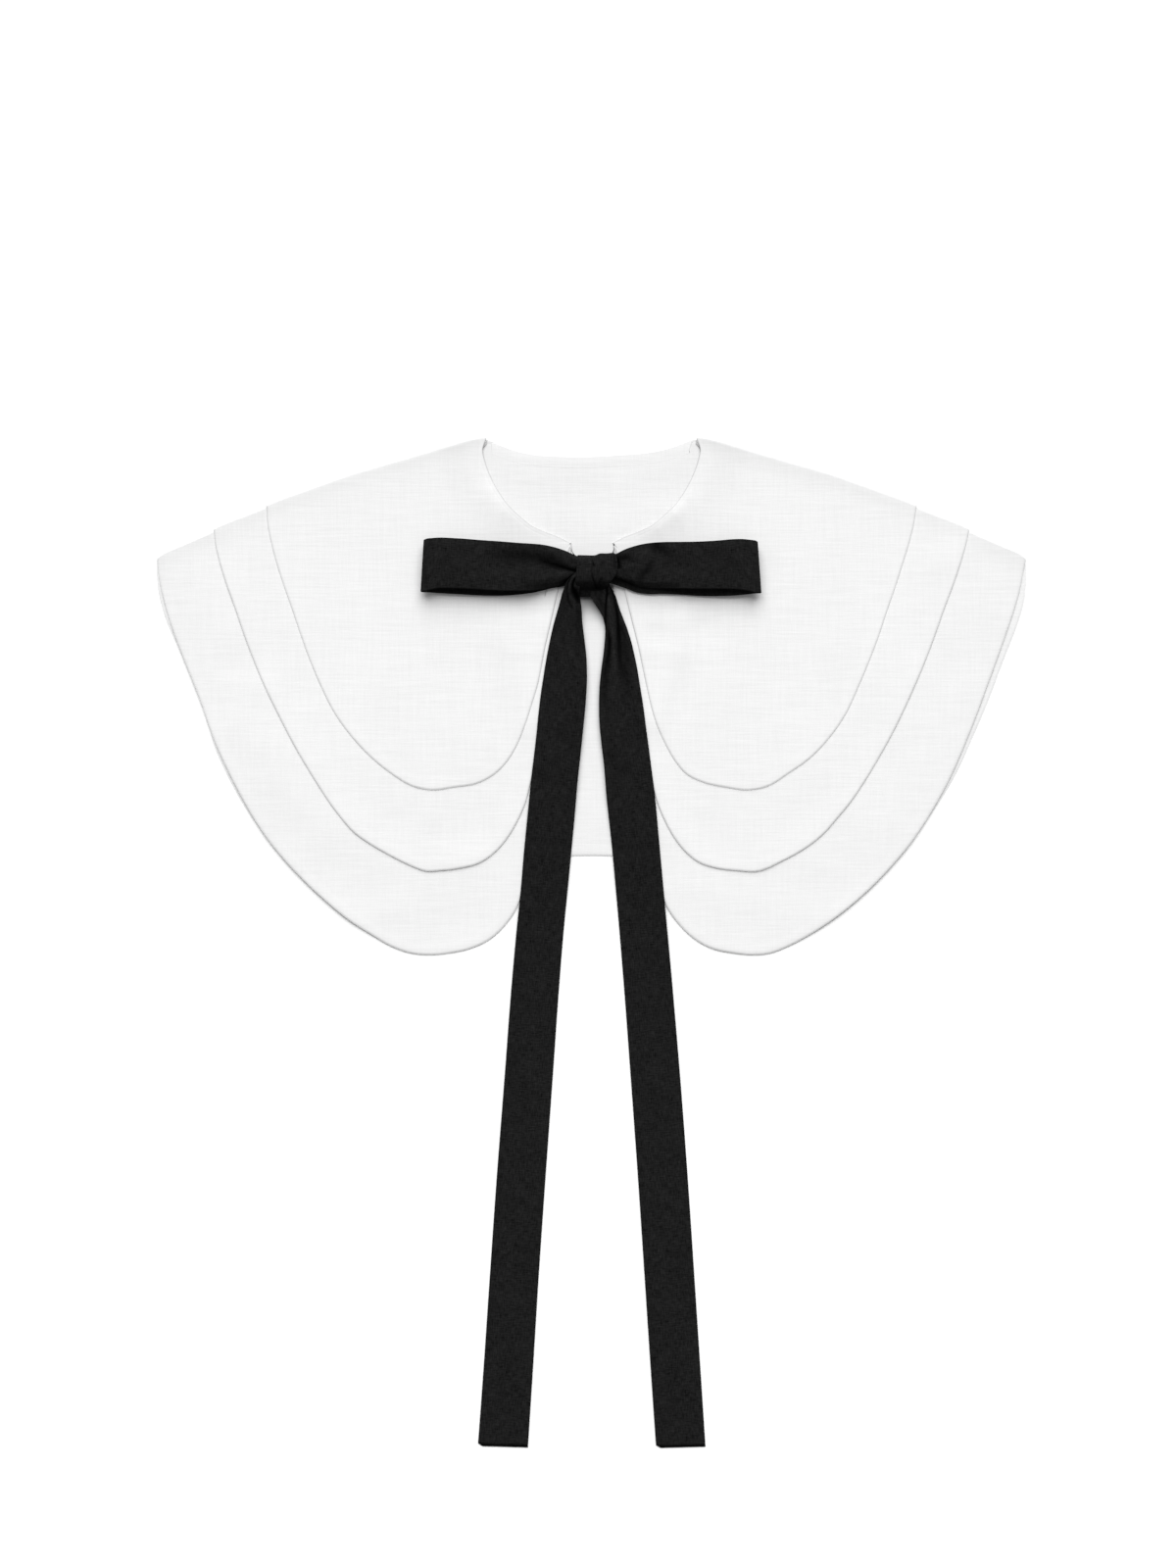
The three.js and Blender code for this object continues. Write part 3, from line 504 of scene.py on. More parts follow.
# How the collar lies
class Lie:
    """Lines in plan of the folded collar, and the heights of its layers"""

    OUTLINE_STEPS = 70
    BACK_HEM_STEPS = 80
    FRONT_HEM_STEPS = 140
    SHOULDER_STEPS = 40

    def __init__(self, settings):
        self.ply, self.pitch, self.lift = settings.ply, settings.pitch, settings.hem_lift
        self.shoulder, self.front_neck, self.front_hem, self.front_outline = {}, {}, {}, {}
        self.back_neck, self.back_hem, self.back_outline = {}, {}, {}
        for tier, name in enumerate(TIERS):
            for side in SIDES:
                key = name, side
                fold = self.fold_line(name, FOLD_DEPTHS[tier] + self.ply / 2 - FOLD_BULGE, side)
                neck = Line(photo_points(FRONT_NECK, side) + [fold.points[0]])
                hem = Line(photo_points(FRONT_HEMS[name], side) + [fold.points[-1]])
                self.shoulder[key], self.front_neck[key], self.front_hem[key] = fold, neck, hem
                self.front_outline[key] = self.outline((neck, 1), (fold, 1), (hem, -2))
            neck = self.across(name, BACK_NECK_LEFT, BACK_NECK_RIGHT, 0)
            hem = self.across(name, BACK_HEMS[name], BACK_HEMS[name], -1)
            left, right = self.shoulder[name, -1], self.shoulder[name, 1]
            self.back_neck[name], self.back_hem[name] = neck, hem
            self.back_outline[name] = self.outline((neck, 1), (right, 1), (hem, -2), (left, -1))

    def outline(self, *parts):
        """Straight steps along lines in turn. parts: (line, how fine, below 0 for a line that runs back)"""
        steps = []
        for line, fine in parts:
            steps.append(line.coarse(abs(fine) * self.OUTLINE_STEPS)[::1 if fine > 0 else -1])
        return np.vstack(steps)

    def across(self, name, left_rows, right_rows, end):
        """A line through the points of both sides, from the end of one shoulder fold to that of the other"""
        left, right = photo_points(left_rows, -1), photo_points(right_rows, 1)
        ends = [self.shoulder[name, side].points[end] for side in SIDES]
        return Line([ends[0], *left, *right[-2::-1], ends[1]])

    def fold_line(self, name, depth, side):
        """Where front and back meet the fold: the outermost line, moved in by the fold's depth"""
        outermost = Line(photo_points(SHOULDERS[name], side))
        along = np.linspace(0, outermost.length, self.SHOULDER_STEPS)
        inward = outermost.left(along, FOLD_REACH) * -side
        return Line(outermost.at(along) + inward * fold_depth(along, depth)[:, None])

    def relief(self, x, y):
        """Soft waves of the whole pile, never below 0"""
        waves = sum(share * np.sin(x / across + y / along + phase) for across, along, phase, share in WAVES)
        return WAVE_HEIGHT * (waves + sum(wave[-1] for wave in WAVES))

    def unevenness(self, x, y):
        """How far a hem stands off at each place, as a share of the usual distance"""
        across, along = UNEVEN_PHASES
        return 1 + UNEVEN * np.sin(x / UNEVEN_ACROSS + across) * np.sin(y / UNEVEN_ALONG + along)

    def closeness(self, neck, x, y):
        """Share of the usual distance between layers, less near a neck edge"""
        return mix(NECK_CLOSENESS, 1, ease(neck.away(x, y) / NECK_RUN))

    def back(self, tier, x, y):
        """Height of the middle of a tier's back"""
        closeness = self.closeness(self.back_neck[TIERS[tier]], x, y)
        from_hem = self.back_hem[TIERS[tier]].away(x, y, self.BACK_HEM_STEPS)
        height = self.ply / 2 * (1 + SEAM_EXTRA) + self.relief(x, y) * ease(from_hem / FLAT_HEM_RUN)
        for below in TIERS[:tier]:
            height = height + self.pitch * closeness * cover(self.back_outline[below], x, y, REST_RUN)
        return height

    def front(self, tier, x, y, side):
        """Height of the middle of a tier's front"""
        closeness = self.closeness(self.front_neck[TIERS[tier], side], x, y)
        last = len(TIERS) - 1
        over_back = cover(self.back_outline[TIERS[last]], x, y, REST_RUN)
        gap = self.pitch * closeness + SHOULDER_GAP * (closeness - NECK_CLOSENESS) + FRONT_GAP
        height = self.back(last, x, y) + gap * over_back + folds(x, y, LINEN_FOLDS)[0]
        raised = self.lift * ease((np.abs(x) - LIFT_START) / LIFT_START_RUN) * self.unevenness(x, y)
        for index in range(last, tier - 1, -1):
            from_hem = self.front_hem[TIERS[index], side].away(x, y, self.FRONT_HEM_STEPS)
            from_fold = self.shoulder[TIERS[index], side].away(x, y, self.SHOULDER_STEPS)
            lift = raised * HEM_LIFTS[index] * (1 - ease(from_hem / LIFT_RUN))
            height = height + lift * mix(LIFT_AT_SHOULDER, 1, ease(from_fold / LIFT_SHOULDER_RUN))
            if index > tier:
                height = height + self.pitch * closeness
        rolled = 1 - ease(from_hem / HEM_ROLL[tier])
        return height - rolled * (self.pitch - self.ply) * closeness

    def pile(self, x, y, run=PILE_RUN):
        """Height of the top of all the linen, for what lies on it: it comes down smoothly beyond each hem"""
        last = len(TIERS) - 1
        height = (self.back(last, x, y) + self.ply / 2) * cover(self.back_outline[TIERS[last]], x, y, run)
        for side in SIDES:
            for tier in range(last, -1, -1):
                share = cover(self.front_outline[TIERS[tier], side], x, y, run)
                height = mix(height, self.front(tier, x, y, side) + self.ply / 2, share)
        return height


def fold_depth(along, depth):
    """How deep a shoulder fold is, by the distance along it from the neck"""
    return depth * mix(FOLD_AT_NECK, 1, ease(along / FOLD_TAPER_RUN))


# Making a sheet
NO_AREA = 1e-15              # where a grid has less, its normal points up
MERGED = 0.0002 * MM         # points of an edge that are nearer to each other become one


def spaced(steps, count, length, end_steps=None):
    """Distances along a length: fine steps at both ends and even ones between them"""
    end = length - np.array(end_steps or steps)[::-1]
    return np.concatenate([steps, np.linspace(steps[-1], end[0], count + 1)[1:-1], end])


def neck_thinness(distance):
    """Thickness beside a neck edge, where the seam presses the layers flat, as a share of the usual one"""
    return mix(NECK_THIN, 1, ease(distance / NECK_THIN_RUN))


def rounded(distance, ply):
    """Thickness of a sheet with a rounded edge, by the distance from its edge"""
    near = 1 - np.clip(distance / (ply / 2), 0, 1)
    return ply * np.sqrt(np.clip(1 - near * near, 0, 1))


def row_slope(middle, ring):
    """How positions change from row to row. ring: the last row is the first one."""
    if not ring:
        return np.gradient(middle, axis=1)
    whole = middle[:, :-1]
    slope = np.roll(whole, -1, axis=1) - np.roll(whole, 1, axis=1)
    return np.concatenate([slope, slope[:, :1]], axis=1)


def cloth_places(across, along, from_edge):
    """Cloth coordinates, for the weave"""
    return np.stack(np.broadcast_arrays(across, along, from_edge), -1)


def cloth(name, middle, thickness, pattern, shade, ring=False, turned=False):
    """A closed double layer of cloth on a grid of columns and rows.
    middle: positions of its middle. thickness: 0 on its edges. pattern: cloth coordinates, for the weave.
    shade: painted light and shade, as a share of its colour. ring: its last row is its first one. turned: its
    rows go the other way."""
    if turned:
        middle, thickness, pattern, shade = (grid[:, ::-1] for grid in (middle, thickness, pattern, shade))
    columns, rows = thickness.shape
    normal = np.cross(np.gradient(middle, axis=0), row_slope(middle, ring))
    length = np.linalg.norm(normal, axis=-1, keepdims=True)
    normal = normal / np.where(length < NO_AREA, 1, length)
    normal[(length < NO_AREA)[..., 0]] = (0, 0, 1)
    half = normal * thickness[..., None] / 2

    mesh = bmesh.new()
    weave = mesh.verts.layers.float_vector.new("weave")
    shading = mesh.verts.layers.float.new("shade")
    bmesh.ops.create_grid(mesh, x_segments=columns - 1, y_segments=rows - 1, size=1)
    copy = bmesh.ops.duplicate(mesh, geom=mesh.verts[:] + mesh.edges[:] + mesh.faces[:])["geom"]
    under = {item for item in copy if isinstance(item, bmesh.types.BMVert)}
    edge = []
    for vert in mesh.verts:
        column = round((vert.co.x + 1) / 2 * (columns - 1))
        row = round((vert.co.y + 1) / 2 * (rows - 1))
        way = -1 if vert in under else 1
        vert.co = Vector(middle[column, row] + way * half[column, row])
        vert[weave] = Vector(pattern[column, row])
        vert[shading] = shade[column, row]
        if column in (0, columns - 1) or row in (0, rows - 1):
            edge.append(vert)
    bmesh.ops.reverse_faces(mesh, faces=[item for item in copy if isinstance(item, bmesh.types.BMFace)])
    bmesh.ops.remove_doubles(mesh, verts=edge, dist=MERGED)
    return finished(name + "_cloth", mesh)


def finished(name, mesh):
    """A smooth shaded object of a mesh"""
    for face in mesh.faces:
        face.smooth = True
    data = bpy.data.meshes.new(name)
    mesh.to_mesh(data)
    mesh.free()
    piece = bpy.data.objects.new(name, data)
    bpy.context.scene.collection.objects.link(piece)
    return piece


# The tiers
CORNER_ROOM = 0.4            # the fine steps narrow to this share of the distance from a pointed corner
FOLD_PULL = 6                # the higher, the nearer a fold the columns bend to follow it


def band_offsets(line, arc, steps, side, room):
    """Points beside a line at each distance of steps, drawn in where there is less room"""
    beside = line.left(arc) * side
    offset = np.array(steps)[None, :] * np.minimum(1, room / steps[-1])[:, None]
    return line.at(arc)[:, None, :] + beside[:, None, :] * offset[..., None], offset


def panel(neck, hem, folds, shares, inner_rows, side, corner):
    """Plan positions [column, row] of a front or a back between its neck edge and its hem, and how far each
    is from the nearer of the two. folds: (share where the panel meets it, line of the fold)."""
    room = CORNER_ROOM * shares if corner else np.full_like(shares, np.inf)
    top, top_offset = band_offsets(neck, shares * neck.length, NECK_STEPS, -side, room * neck.length)
    low, low_offset = band_offsets(hem, shares * hem.length, EDGE_STEPS, side, room * hem.length)
    low, low_offset = low[:, ::-1], low_offset[:, ::-1]
    inner = np.linspace(0, 1, inner_rows + 1)[1:-1][None, :, None]
    middle = mix(top[:, -1:], low[:, :1], inner)
    plan = np.concatenate([top, middle, low], 1)
    far = np.full(middle.shape[:2], EDGE_STEPS[-1])
    from_edge = np.concatenate([top_offset, far, low_offset], 1)
    for share, fold in folds:
        column = 0 if share == 0 else -1
        target = fold.at(spaced(NECK_STEPS, inner_rows, fold.length, EDGE_STEPS))
        nearness = (1 - np.abs(shares - share)) ** FOLD_PULL
        plan = plan + nearness[:, None, None] * (target - plan[column])[None]
    return plan, from_edge


def fold_columns(front, back, fold, tier, side):
    """Columns of a shoulder fold from its front to its back, both left out"""
    along = fold.length * np.linspace(0, 1, front.shape[0])
    outward = fold.left(along, FOLD_REACH) * side
    depth = fold_depth(along, FOLD_DEPTHS[tier])
    middle, half = (front + back) / 2, (front[:, 2] - back[:, 2]) / 2
    columns = []
    for step in range(1, FOLD_COLUMNS):
        turn = math.pi / 2 - math.pi * step / FOLD_COLUMNS
        column = middle.copy()
        column[:, :2] += outward * (depth * math.cos(turn) ** FOLD_SQUARENESS)[:, None]
        column[:, 2] += half * math.copysign(abs(math.sin(turn)) ** FOLD_SQUARENESS, turn)
        columns.append(column)
    return np.array(columns)


def hem_looks(tier, hem, of_back):
    """How thin the cloth is at each column's hem and the painted light and shade there, as shares. The hem is
    thinner and painted lighter where it faces away from the neck than at the sides."""
    along = np.gradient(hem[:, :2], axis=0) ** 2
    facing_down = (along[:, 0] / np.maximum(along.sum(axis=1), LEAST_SQUARE))[:, None]
    inner = 1 - ease((np.abs(hem[:, :1]) - INNER_REACH) / INNER_FADE)
    thin = mix(mix(SIDE_HEM_THIN, INNER_HEM_THIN, inner), HEM_THIN[tier], facing_down)
    shade = mix(SIDE_HEM_SHADES[tier] + INNER_HEM_SHADE * inner, HEM_SHADES[tier], facing_down)
    thin[of_back] = BACK_HEM_THIN
    shade[of_back] = mix(1, BACK_HEM_SHADE, (1 + facing_down[of_back]) / 2)
    return thin, shade


def fold_shade(lie, name, middle, count):
    """Painted shade near the shoulder folds, as a share of the linen's colour. count: columns of one front."""
    from_fold = np.full(middle.shape[:2], np.inf)
    for side in SIDES:
        away = lie.shoulder[name, side].away(middle[..., 0], middle[..., 1])
        from_fold = np.minimum(from_fold, away)
    shade = 1 - FOLD_SHADE * np.exp(-from_fold / FOLD_SHADE_RUN)
    folded = slice(count, count + FOLD_COLUMNS - 1)
    shade[folded] = shade[::-1][folded] = FOLD_EDGE_SHADE
    return shade


def neck_slope_shade(lie, name, middle, count):
    """Painted shade where the linen rises from the neck, as a share of its colour. count: columns of one
    front.
    """
    from_neck = lie.back_neck[name].away(middle[..., 0], middle[..., 1])
    for part, side in ((slice(0, count), -1), (slice(-count, None), 1)):
        from_neck[part] = lie.front_neck[name, side].away(middle[part, :, 0], middle[part, :, 1])
    way_up = np.clip(from_neck / NECK_RUN, 0, 1)
    return 1 - NECK_SLOPE_SHADE * 4 * way_up * (1 - way_up)


def tier_piece(lie, name):
    """One tier: left front, left fold, back, right fold, right front"""
    tier, rows = TIERS.index(name), INNER_ROWS[name]
    front_shares, back_shares = (np.linspace(0, 1, count + 1) for count in COLUMN_COUNTS[name])
    fronts, edges = {}, {}
    for side in SIDES:
        neck, hem, fold = lie.front_neck[name, side], lie.front_hem[name, side], lie.shoulder[name, side]
        plan, edges[side] = panel(neck, hem, [(1, fold)], front_shares, rows, side, corner=True)
        fronts[side] = np.dstack([plan, lie.front(tier, plan[..., 0], plan[..., 1], side)])
    back_folds = [(0, lie.shoulder[name, -1]), (1, lie.shoulder[name, 1])]
    neck, hem = lie.back_neck[name], lie.back_hem[name]
    plan, back_edge = panel(neck, hem, back_folds, back_shares, rows, 1, corner=False)
    back = np.dstack([plan, lie.back(tier, plan[..., 0], plan[..., 1])])

    left_fold = fold_columns(fronts[-1][-1], back[0], lie.shoulder[name, -1], tier, -1)
    right_fold = fold_columns(fronts[1][-1], back[-1], lie.shoulder[name, 1], tier, 1)[::-1]
    fold_edge = np.repeat(back_edge[:1], FOLD_COLUMNS - 1, axis=0)
    middle = np.concatenate([fronts[-1], left_fold, back, right_fold, fronts[1][::-1]])
    from_edge = np.concatenate([edges[-1], fold_edge, back_edge, fold_edge, edges[1][::-1]])

    count = len(front_shares)
    of_back = slice(count + FOLD_COLUMNS - 1, -count - FOLD_COLUMNS + 1)
    neck_side = np.arange(from_edge.shape[1]) < len(NECK_STEPS)
    thin, hem_shade = hem_looks(tier, middle[:, -1], of_back)
    thin = mix(thin, 1, ease(from_edge / HEM_ROLL[tier]))
    middle[..., 2] -= lie.ply * np.where(neck_side, 0, 1 - thin) / 2

    allowance = ease((from_edge - SEAM_START) / MM) * (1 - ease((from_edge - SEAM_END) / SEAM_END_RUN))
    seam = 1 + SEAM_EXTRA * allowance * ~neck_side
    stitch = np.exp(-(((from_edge - UNDERSTITCH) / STITCH_WIDTH) ** 2)) * neck_side
    pressed = np.where(neck_side, neck_thinness(from_edge), thin)
    thickness = rounded(from_edge, lie.ply) * seam * pressed * (1 - STITCH_DEPTH * stitch)
    thickness[:, (0, -1)] = 0
    thickness[(0, -1), :] = 0

    # painted light and shade: along the hems, beside the shoulder folds, at the neck edge and on the rise from
    # it
    hem_shade = mix(hem_shade, 1, ease(from_edge / HEM_SHADE_RUN))
    neck_shade = np.interp(from_edge, NECK_SHADE_STEPS, NECK_SHADE)
    shade = fold_shade(lie, name, middle, count) * neck_slope_shade(lie, name, middle, count)
    shade = shade * np.where(neck_side, neck_shade, hem_shade)
    # a painted shadow on the back under the knot
    if name == TIERS[-1]:
        from_knot = np.linalg.norm(middle[of_back, :, :2] - photo_place(*KNOT_FOOT), axis=-1)
        shade[of_back] *= ease((from_knot + KNOT_SHADOW_PAST) / KNOT_SHADOW_RUN)
    return cloth(name, middle, thickness, np.dstack([middle[..., :2], from_edge]), shade)


# The binding
BINDING_WIDTH = 9.2 * MM
BINDING_HALF_LENGTH = 82 * MM
BINDING_PLY = 0.3 * MM
BINDING_INSET = 0.15 * MM      # from the neck edge
BINDING_THIN = 0.12            # share of its thickness at its free edge, over the next distance
BINDING_THIN_RUN = 5 * MM
BINDING_CLEARANCE = 0.02 * MM
BINDING_COLUMNS = 4
BINDING_STATIONS = 90
TIE_EDGE_STEPS = tuple(step * MM for step in (0, 0.03, 0.12, 0.4, 1.0, 2.2, 3.6))
SHORT_STEPS = TIE_EDGE_STEPS[:5]


def binding_piece(lie):
    """The binding along the inside of the back neck edge"""
    neck = lie.back_neck["tier_lower"]
    span = neck.arc[np.abs(neck.points[:, 0]) < BINDING_HALF_LENGTH]
    across = spaced(SHORT_STEPS, BINDING_COLUMNS, BINDING_WIDTH)
    along = spaced(SHORT_STEPS, BINDING_STATIONS, span[-1] - span[0])
    inward = -neck.left(span[0] + along)[:, None, :]
    plan = neck.at(span[0] + along)[:, None, :] + inward * (across + BINDING_INSET)[None, :, None]
    from_edge = np.minimum.outer(from_ends(along), from_ends(across))
    thin = mix(BINDING_THIN, 1, ease((across[-1] - across) / BINDING_THIN_RUN))
    thickness = rounded(from_edge, BINDING_PLY) * thin
    cloth_below = lie.back(2, plan[..., 0], plan[..., 1]) + lie.ply / 2 * neck_thinness(across)
    middle = np.dstack([plan, cloth_below + thickness / 2 + BINDING_CLEARANCE])
    pattern = np.full(middle.shape, EDGE_STEPS[-1])
    return cloth("neck_binding", middle, thickness, pattern, np.ones(from_edge.shape), turned=True)


# The tie
# Painted shade in the tie's creases and painted light on its ridges, by how sharp they are
CREASE_SHARPNESS = (-2.0, -1.0, -0.3, 0, 0.7)
CREASE_SHADE = (0.08, 0.25, 0.7, 1, 1.4)
TIE_EDGE_SHADE = 0.35          # painted shade: share of its colour on its edge, which grows between these distances from it
TIE_EDGE_START = 0.2 * MM
TIE_EDGE_RUN = 0.7 * MM


def crease_shade(sharp, from_edge):
    """Painted light and shade on black cloth, as a share of its colour, by how sharply it is creased and how
    near its edge is
    """
    in_crease = np.interp(sharp, CREASE_SHARPNESS, CREASE_SHADE)
    return in_crease * mix(TIE_EDGE_SHADE, 1, ease((from_edge - TIE_EDGE_START) / TIE_EDGE_RUN))


TAIL_WIDTH = 40 * MM
TAIL_COLUMNS = 36
TAIL_STATIONS = 330
TAIL_CROWDING = 1.5            # they are closer together near the knot
TAIL_CLEARANCE = 0.3 * MM
BRIDGE_RUN = 50 * MM           # a hanging end comes down over this distance beyond an edge of the linen
LEAN_ROWS = 60                 # its grid turns square to its edges over this many rows from the knot
LEAN_LOST = 0.6                # and turns back by this share towards its end, which is cut nearly level
NICK_ROWS = 2.5                # the left corner of an end is cut off by this many rows
NICK_SHARE = 0.1               # over this share of its width
NICK_REACH = 5                 # and over this many rows up from the end
TAIL_CURL = 2.2 * MM           # the inner edges of the hanging ends stand up this far over the gap
CURL_START = (640, 50)         # from this row, over these rows
CURL_STOP = (770, 100)         # and down again in the same way


def tail_piece(lie, name, ply):
    """A hanging end of the tie, out of the knot and down over the fronts"""
    table = TAILS[name]
    first, last = table[0][0], table[-1][0]
    row = mix(first, last, np.linspace(0, 1, TAIL_STATIONS) ** TAIL_CROWDING)
    across = spaced(TIE_EDGE_STEPS, TAIL_COLUMNS, TAIL_WIDTH)
    share = (across / TAIL_WIDTH)[:, None]
    left, right = column_of(table, row, 1), column_of(table, row, 2)
    to_end = row - last
    lean = np.gradient((left + right) / 2, row) * ease((row - first) / LEAN_ROWS)
    lean = lean * (1 - LEAN_LOST * ease(1 + to_end / LEAN_ROWS))
    rows = row - (share - 0.5) * (right - left) * lean
    rows = rows - NICK_ROWS * (1 - ease(share / NICK_SHARE)) * ease(1 + to_end / NICK_REACH)
    rows = np.clip(rows, first, None)
    x, y = photo_place(mix(column_of(table, rows, 1), column_of(table, rows, 2), share), rows)
    start, over = TAIL_LEAVES[name]
    lying = lie.pile(x, y, BRIDGE_RUN) + TAIL_CLEARANCE + ply / 2
    height = mix(column_of(TAIL_HEIGHTS[name], rows, 1) * MM, lying, ease((rows - start) / over))
    creased, sharp = folds(x, y, TIE_FOLDS[name])
    inner = share if name.endswith("left") else 1 - share
    curl_in, curl_out = (ease((rows - begin) / run) for begin, run in (CURL_START, CURL_STOP))
    height = height + creased + TAIL_CURL * inner**2 * curl_in * (1 - curl_out)
    along = (row - first) * PIXEL
    from_edge = np.minimum.outer(from_ends(across), from_ends(along))
    pattern = cloth_places(across[:, None], along, from_edge)
    shade = crease_shade(sharp, from_edge)
    return cloth(name, seen_at(x, y, height), rounded(from_edge, ply), pattern, shade, turned=True)


LOOP_WIDTH = 42 * MM
LOOP_COLUMNS = 44
LOOP_STATIONS = 150
LOOP_CROWDING = 1.3
LOOP_TURN_STATIONS = 14
LOOP_REACH = 4.2 * MM          # how far the end of a loop stands out past its last station
LOOP_END_ROUNDNESS = 0.8       # 1 for half a circle, less for a blunter end
LOOP_END_SAG = 0.6 * MM        # the upper edge is drawn in by this much there
LOOP_CLEARANCE = 2.0 * MM      # its lower layer lies this far above the linen
LOW_TUCK = 2.0 * MM            # its upper edge is this far inside that of the upper layer
KNOT_RISE = 2.5 * MM           # it rises into the knot, over a share of its length
KNOT_RISE_SHARE = 0.3
LOOP_END_RISE = {"bow_loop_left": 2.0 * MM, "bow_loop_right": 3.2 * MM}   # and this much towards its end
END_RISE_START = (0.55, 0.4)   # from this share, over a share
LOOP_HIGH = 19.0 * MM          # height of the middle of its upper layer
NEAR_KNOT = 19.8 * MM          # and where it goes into the knot
NEAR_KNOT_SHARE = 0.26         # up to this share of the way to the end
LOOP_DROP = {"bow_loop_left": 3.4 * MM, "bow_loop_right": 4.2 * MM}   # there its lower edge is so much lower
LOOP_CROWN = 0.7 * MM          # both edges of the upper layer are this much lower than its middle
LOOP_EDGE_DROP = 7.5 * MM      # near the hanging ends its lower edge curls down to the linen
EDGE_DROP_START = (0.86, 0.14)  # from this share of the width, over a share
# That fades from this share of the way to the end, over a share
LOOP_CURL_END = {"bow_loop_left": (0.18, 0.30), "bow_loop_right": (0.32, 0.24)}
SLANT_START = (0.3, 0.7)       # the slant of its end begins at this share of the way, over a share


def loop_plan(lie, name, ply, side):
    """Stations of a loop: out along its lower layer, round the end and back along the upper one. Rows: share
    of the way to the end, x, y of the upper edge, y of the lower edge, height, 1 in the upper layer."""
    table = LOOPS[name]
    shares = np.linspace(0, 1, LOOP_STATIONS) ** LOOP_CROWDING
    x, upper = photo_place(column_of(table, shares, 1), column_of(table, shares, 2))
    high_edge, low_edge = (photo_place(0, column_of(table, shares, column))[1] for column in (3, 4))
    start, over = END_RISE_START
    rise = KNOT_RISE * (1 - ease(shares / KNOT_RISE_SHARE))
    rise = rise + LOOP_END_RISE[name] * ease((shares - start) / over)
    low_upper = upper - LOW_TUCK
    low_height = lie.pile(x, (low_upper + low_edge) / 2) + LOOP_CLEARANCE + ply / 2 + rise
    low = np.array([shares, x, low_upper, low_edge, low_height, np.zeros_like(x)])
    high = np.array([shares, x, upper, high_edge, np.full_like(x, LOOP_HIGH), np.ones_like(x)])
    turn = np.linspace(-np.pi / 2, np.pi / 2, LOOP_TURN_STATIONS + 2)[1:-1]
    bend = mix(low[:, -1:], high[:, -1:], (1 + np.sin(turn)) / 2)
    bend[1] += side * LOOP_REACH * np.cos(turn) ** LOOP_END_ROUNDNESS
    bend[2] -= LOOP_END_SAG * np.cos(turn)
    return np.concatenate([low, bend, high[:, ::-1]], axis=1)


def loop_piece(lie, name, ply):
    """A loop of the bow"""
    side = -1 if name.endswith("left") else 1
    plan = loop_plan(lie, name, ply, side)
    shares, x, upper, lower, z, high = plan[..., None]
    across = spaced(TIE_EDGE_STEPS, LOOP_COLUMNS, LOOP_WIDTH)
    v = across / LOOP_WIDTH
    y = mix(upper, lower, v)
    start, over = SLANT_START
    middle_x = x + LOOP_END_SLANT[name] * (v - 0.5) * ease((shares - start) / over)
    creased, sharp = (part * high for part in folds(middle_x, y, TIE_FOLDS[name]))
    near = (1 - ease(shares / NEAR_KNOT_SHARE)) * high
    height = z + creased + (NEAR_KNOT - LOOP_HIGH - LOOP_DROP[name] * ease(2 * v - 1)) * near
    height = height - LOOP_CROWN * (2 * v - 1) ** 4 * high
    (edge_start, edge_over), (fade_start, fade_over) = EDGE_DROP_START, LOOP_CURL_END[name]
    near_tails = 1 - ease((shares - fade_start) / fade_over)
    height = height - LOOP_EDGE_DROP * ease((v - edge_start) / edge_over) * near_tails * high
    along = np.concatenate([[0], np.cumsum(np.hypot(np.diff(plan[1]), np.diff(plan[4])))])
    from_edge = np.repeat(from_ends(across)[None, :], len(along), 0)
    from_edge[(0, -1), :] = 0
    pattern = cloth_places(across, along[:, None], from_edge)
    shade = crease_shade(sharp, from_edge)
    return cloth(name, seen_at(middle_x, y, height), rounded(from_edge, ply), pattern, shade, turned=side > 0)


KNOT_WIDTH = 34 * MM
KNOT_COLUMNS = 80
KNOT_LENGTH = 90 * MM          # once round
KNOT_STATIONS = 180
KNOT_OVERLAP = 3               # rows of its table that are read again past each end
KNOT_TUCK = 1.1 * MM           # its side edges are tucked down by this much
KNOT_TUCK_SHARPNESS = 10       # the higher, the nearer those edges the tuck begins
KNOT_FRONT = (9 * MM, 4 * MM)  # its front begins at this height, over this height
KNOT_TOP_ROWS = (574, 7)       # the outline of its top shapes it above this row, fully after these rows
KNOT_DARK_HEIGHTS = (8 * MM, 13 * MM, 17 * MM, 20.5 * MM)   # little light reaches the gathers under the knot
KNOT_DARKNESS = (0.15, 0.3, 0.65, 1)


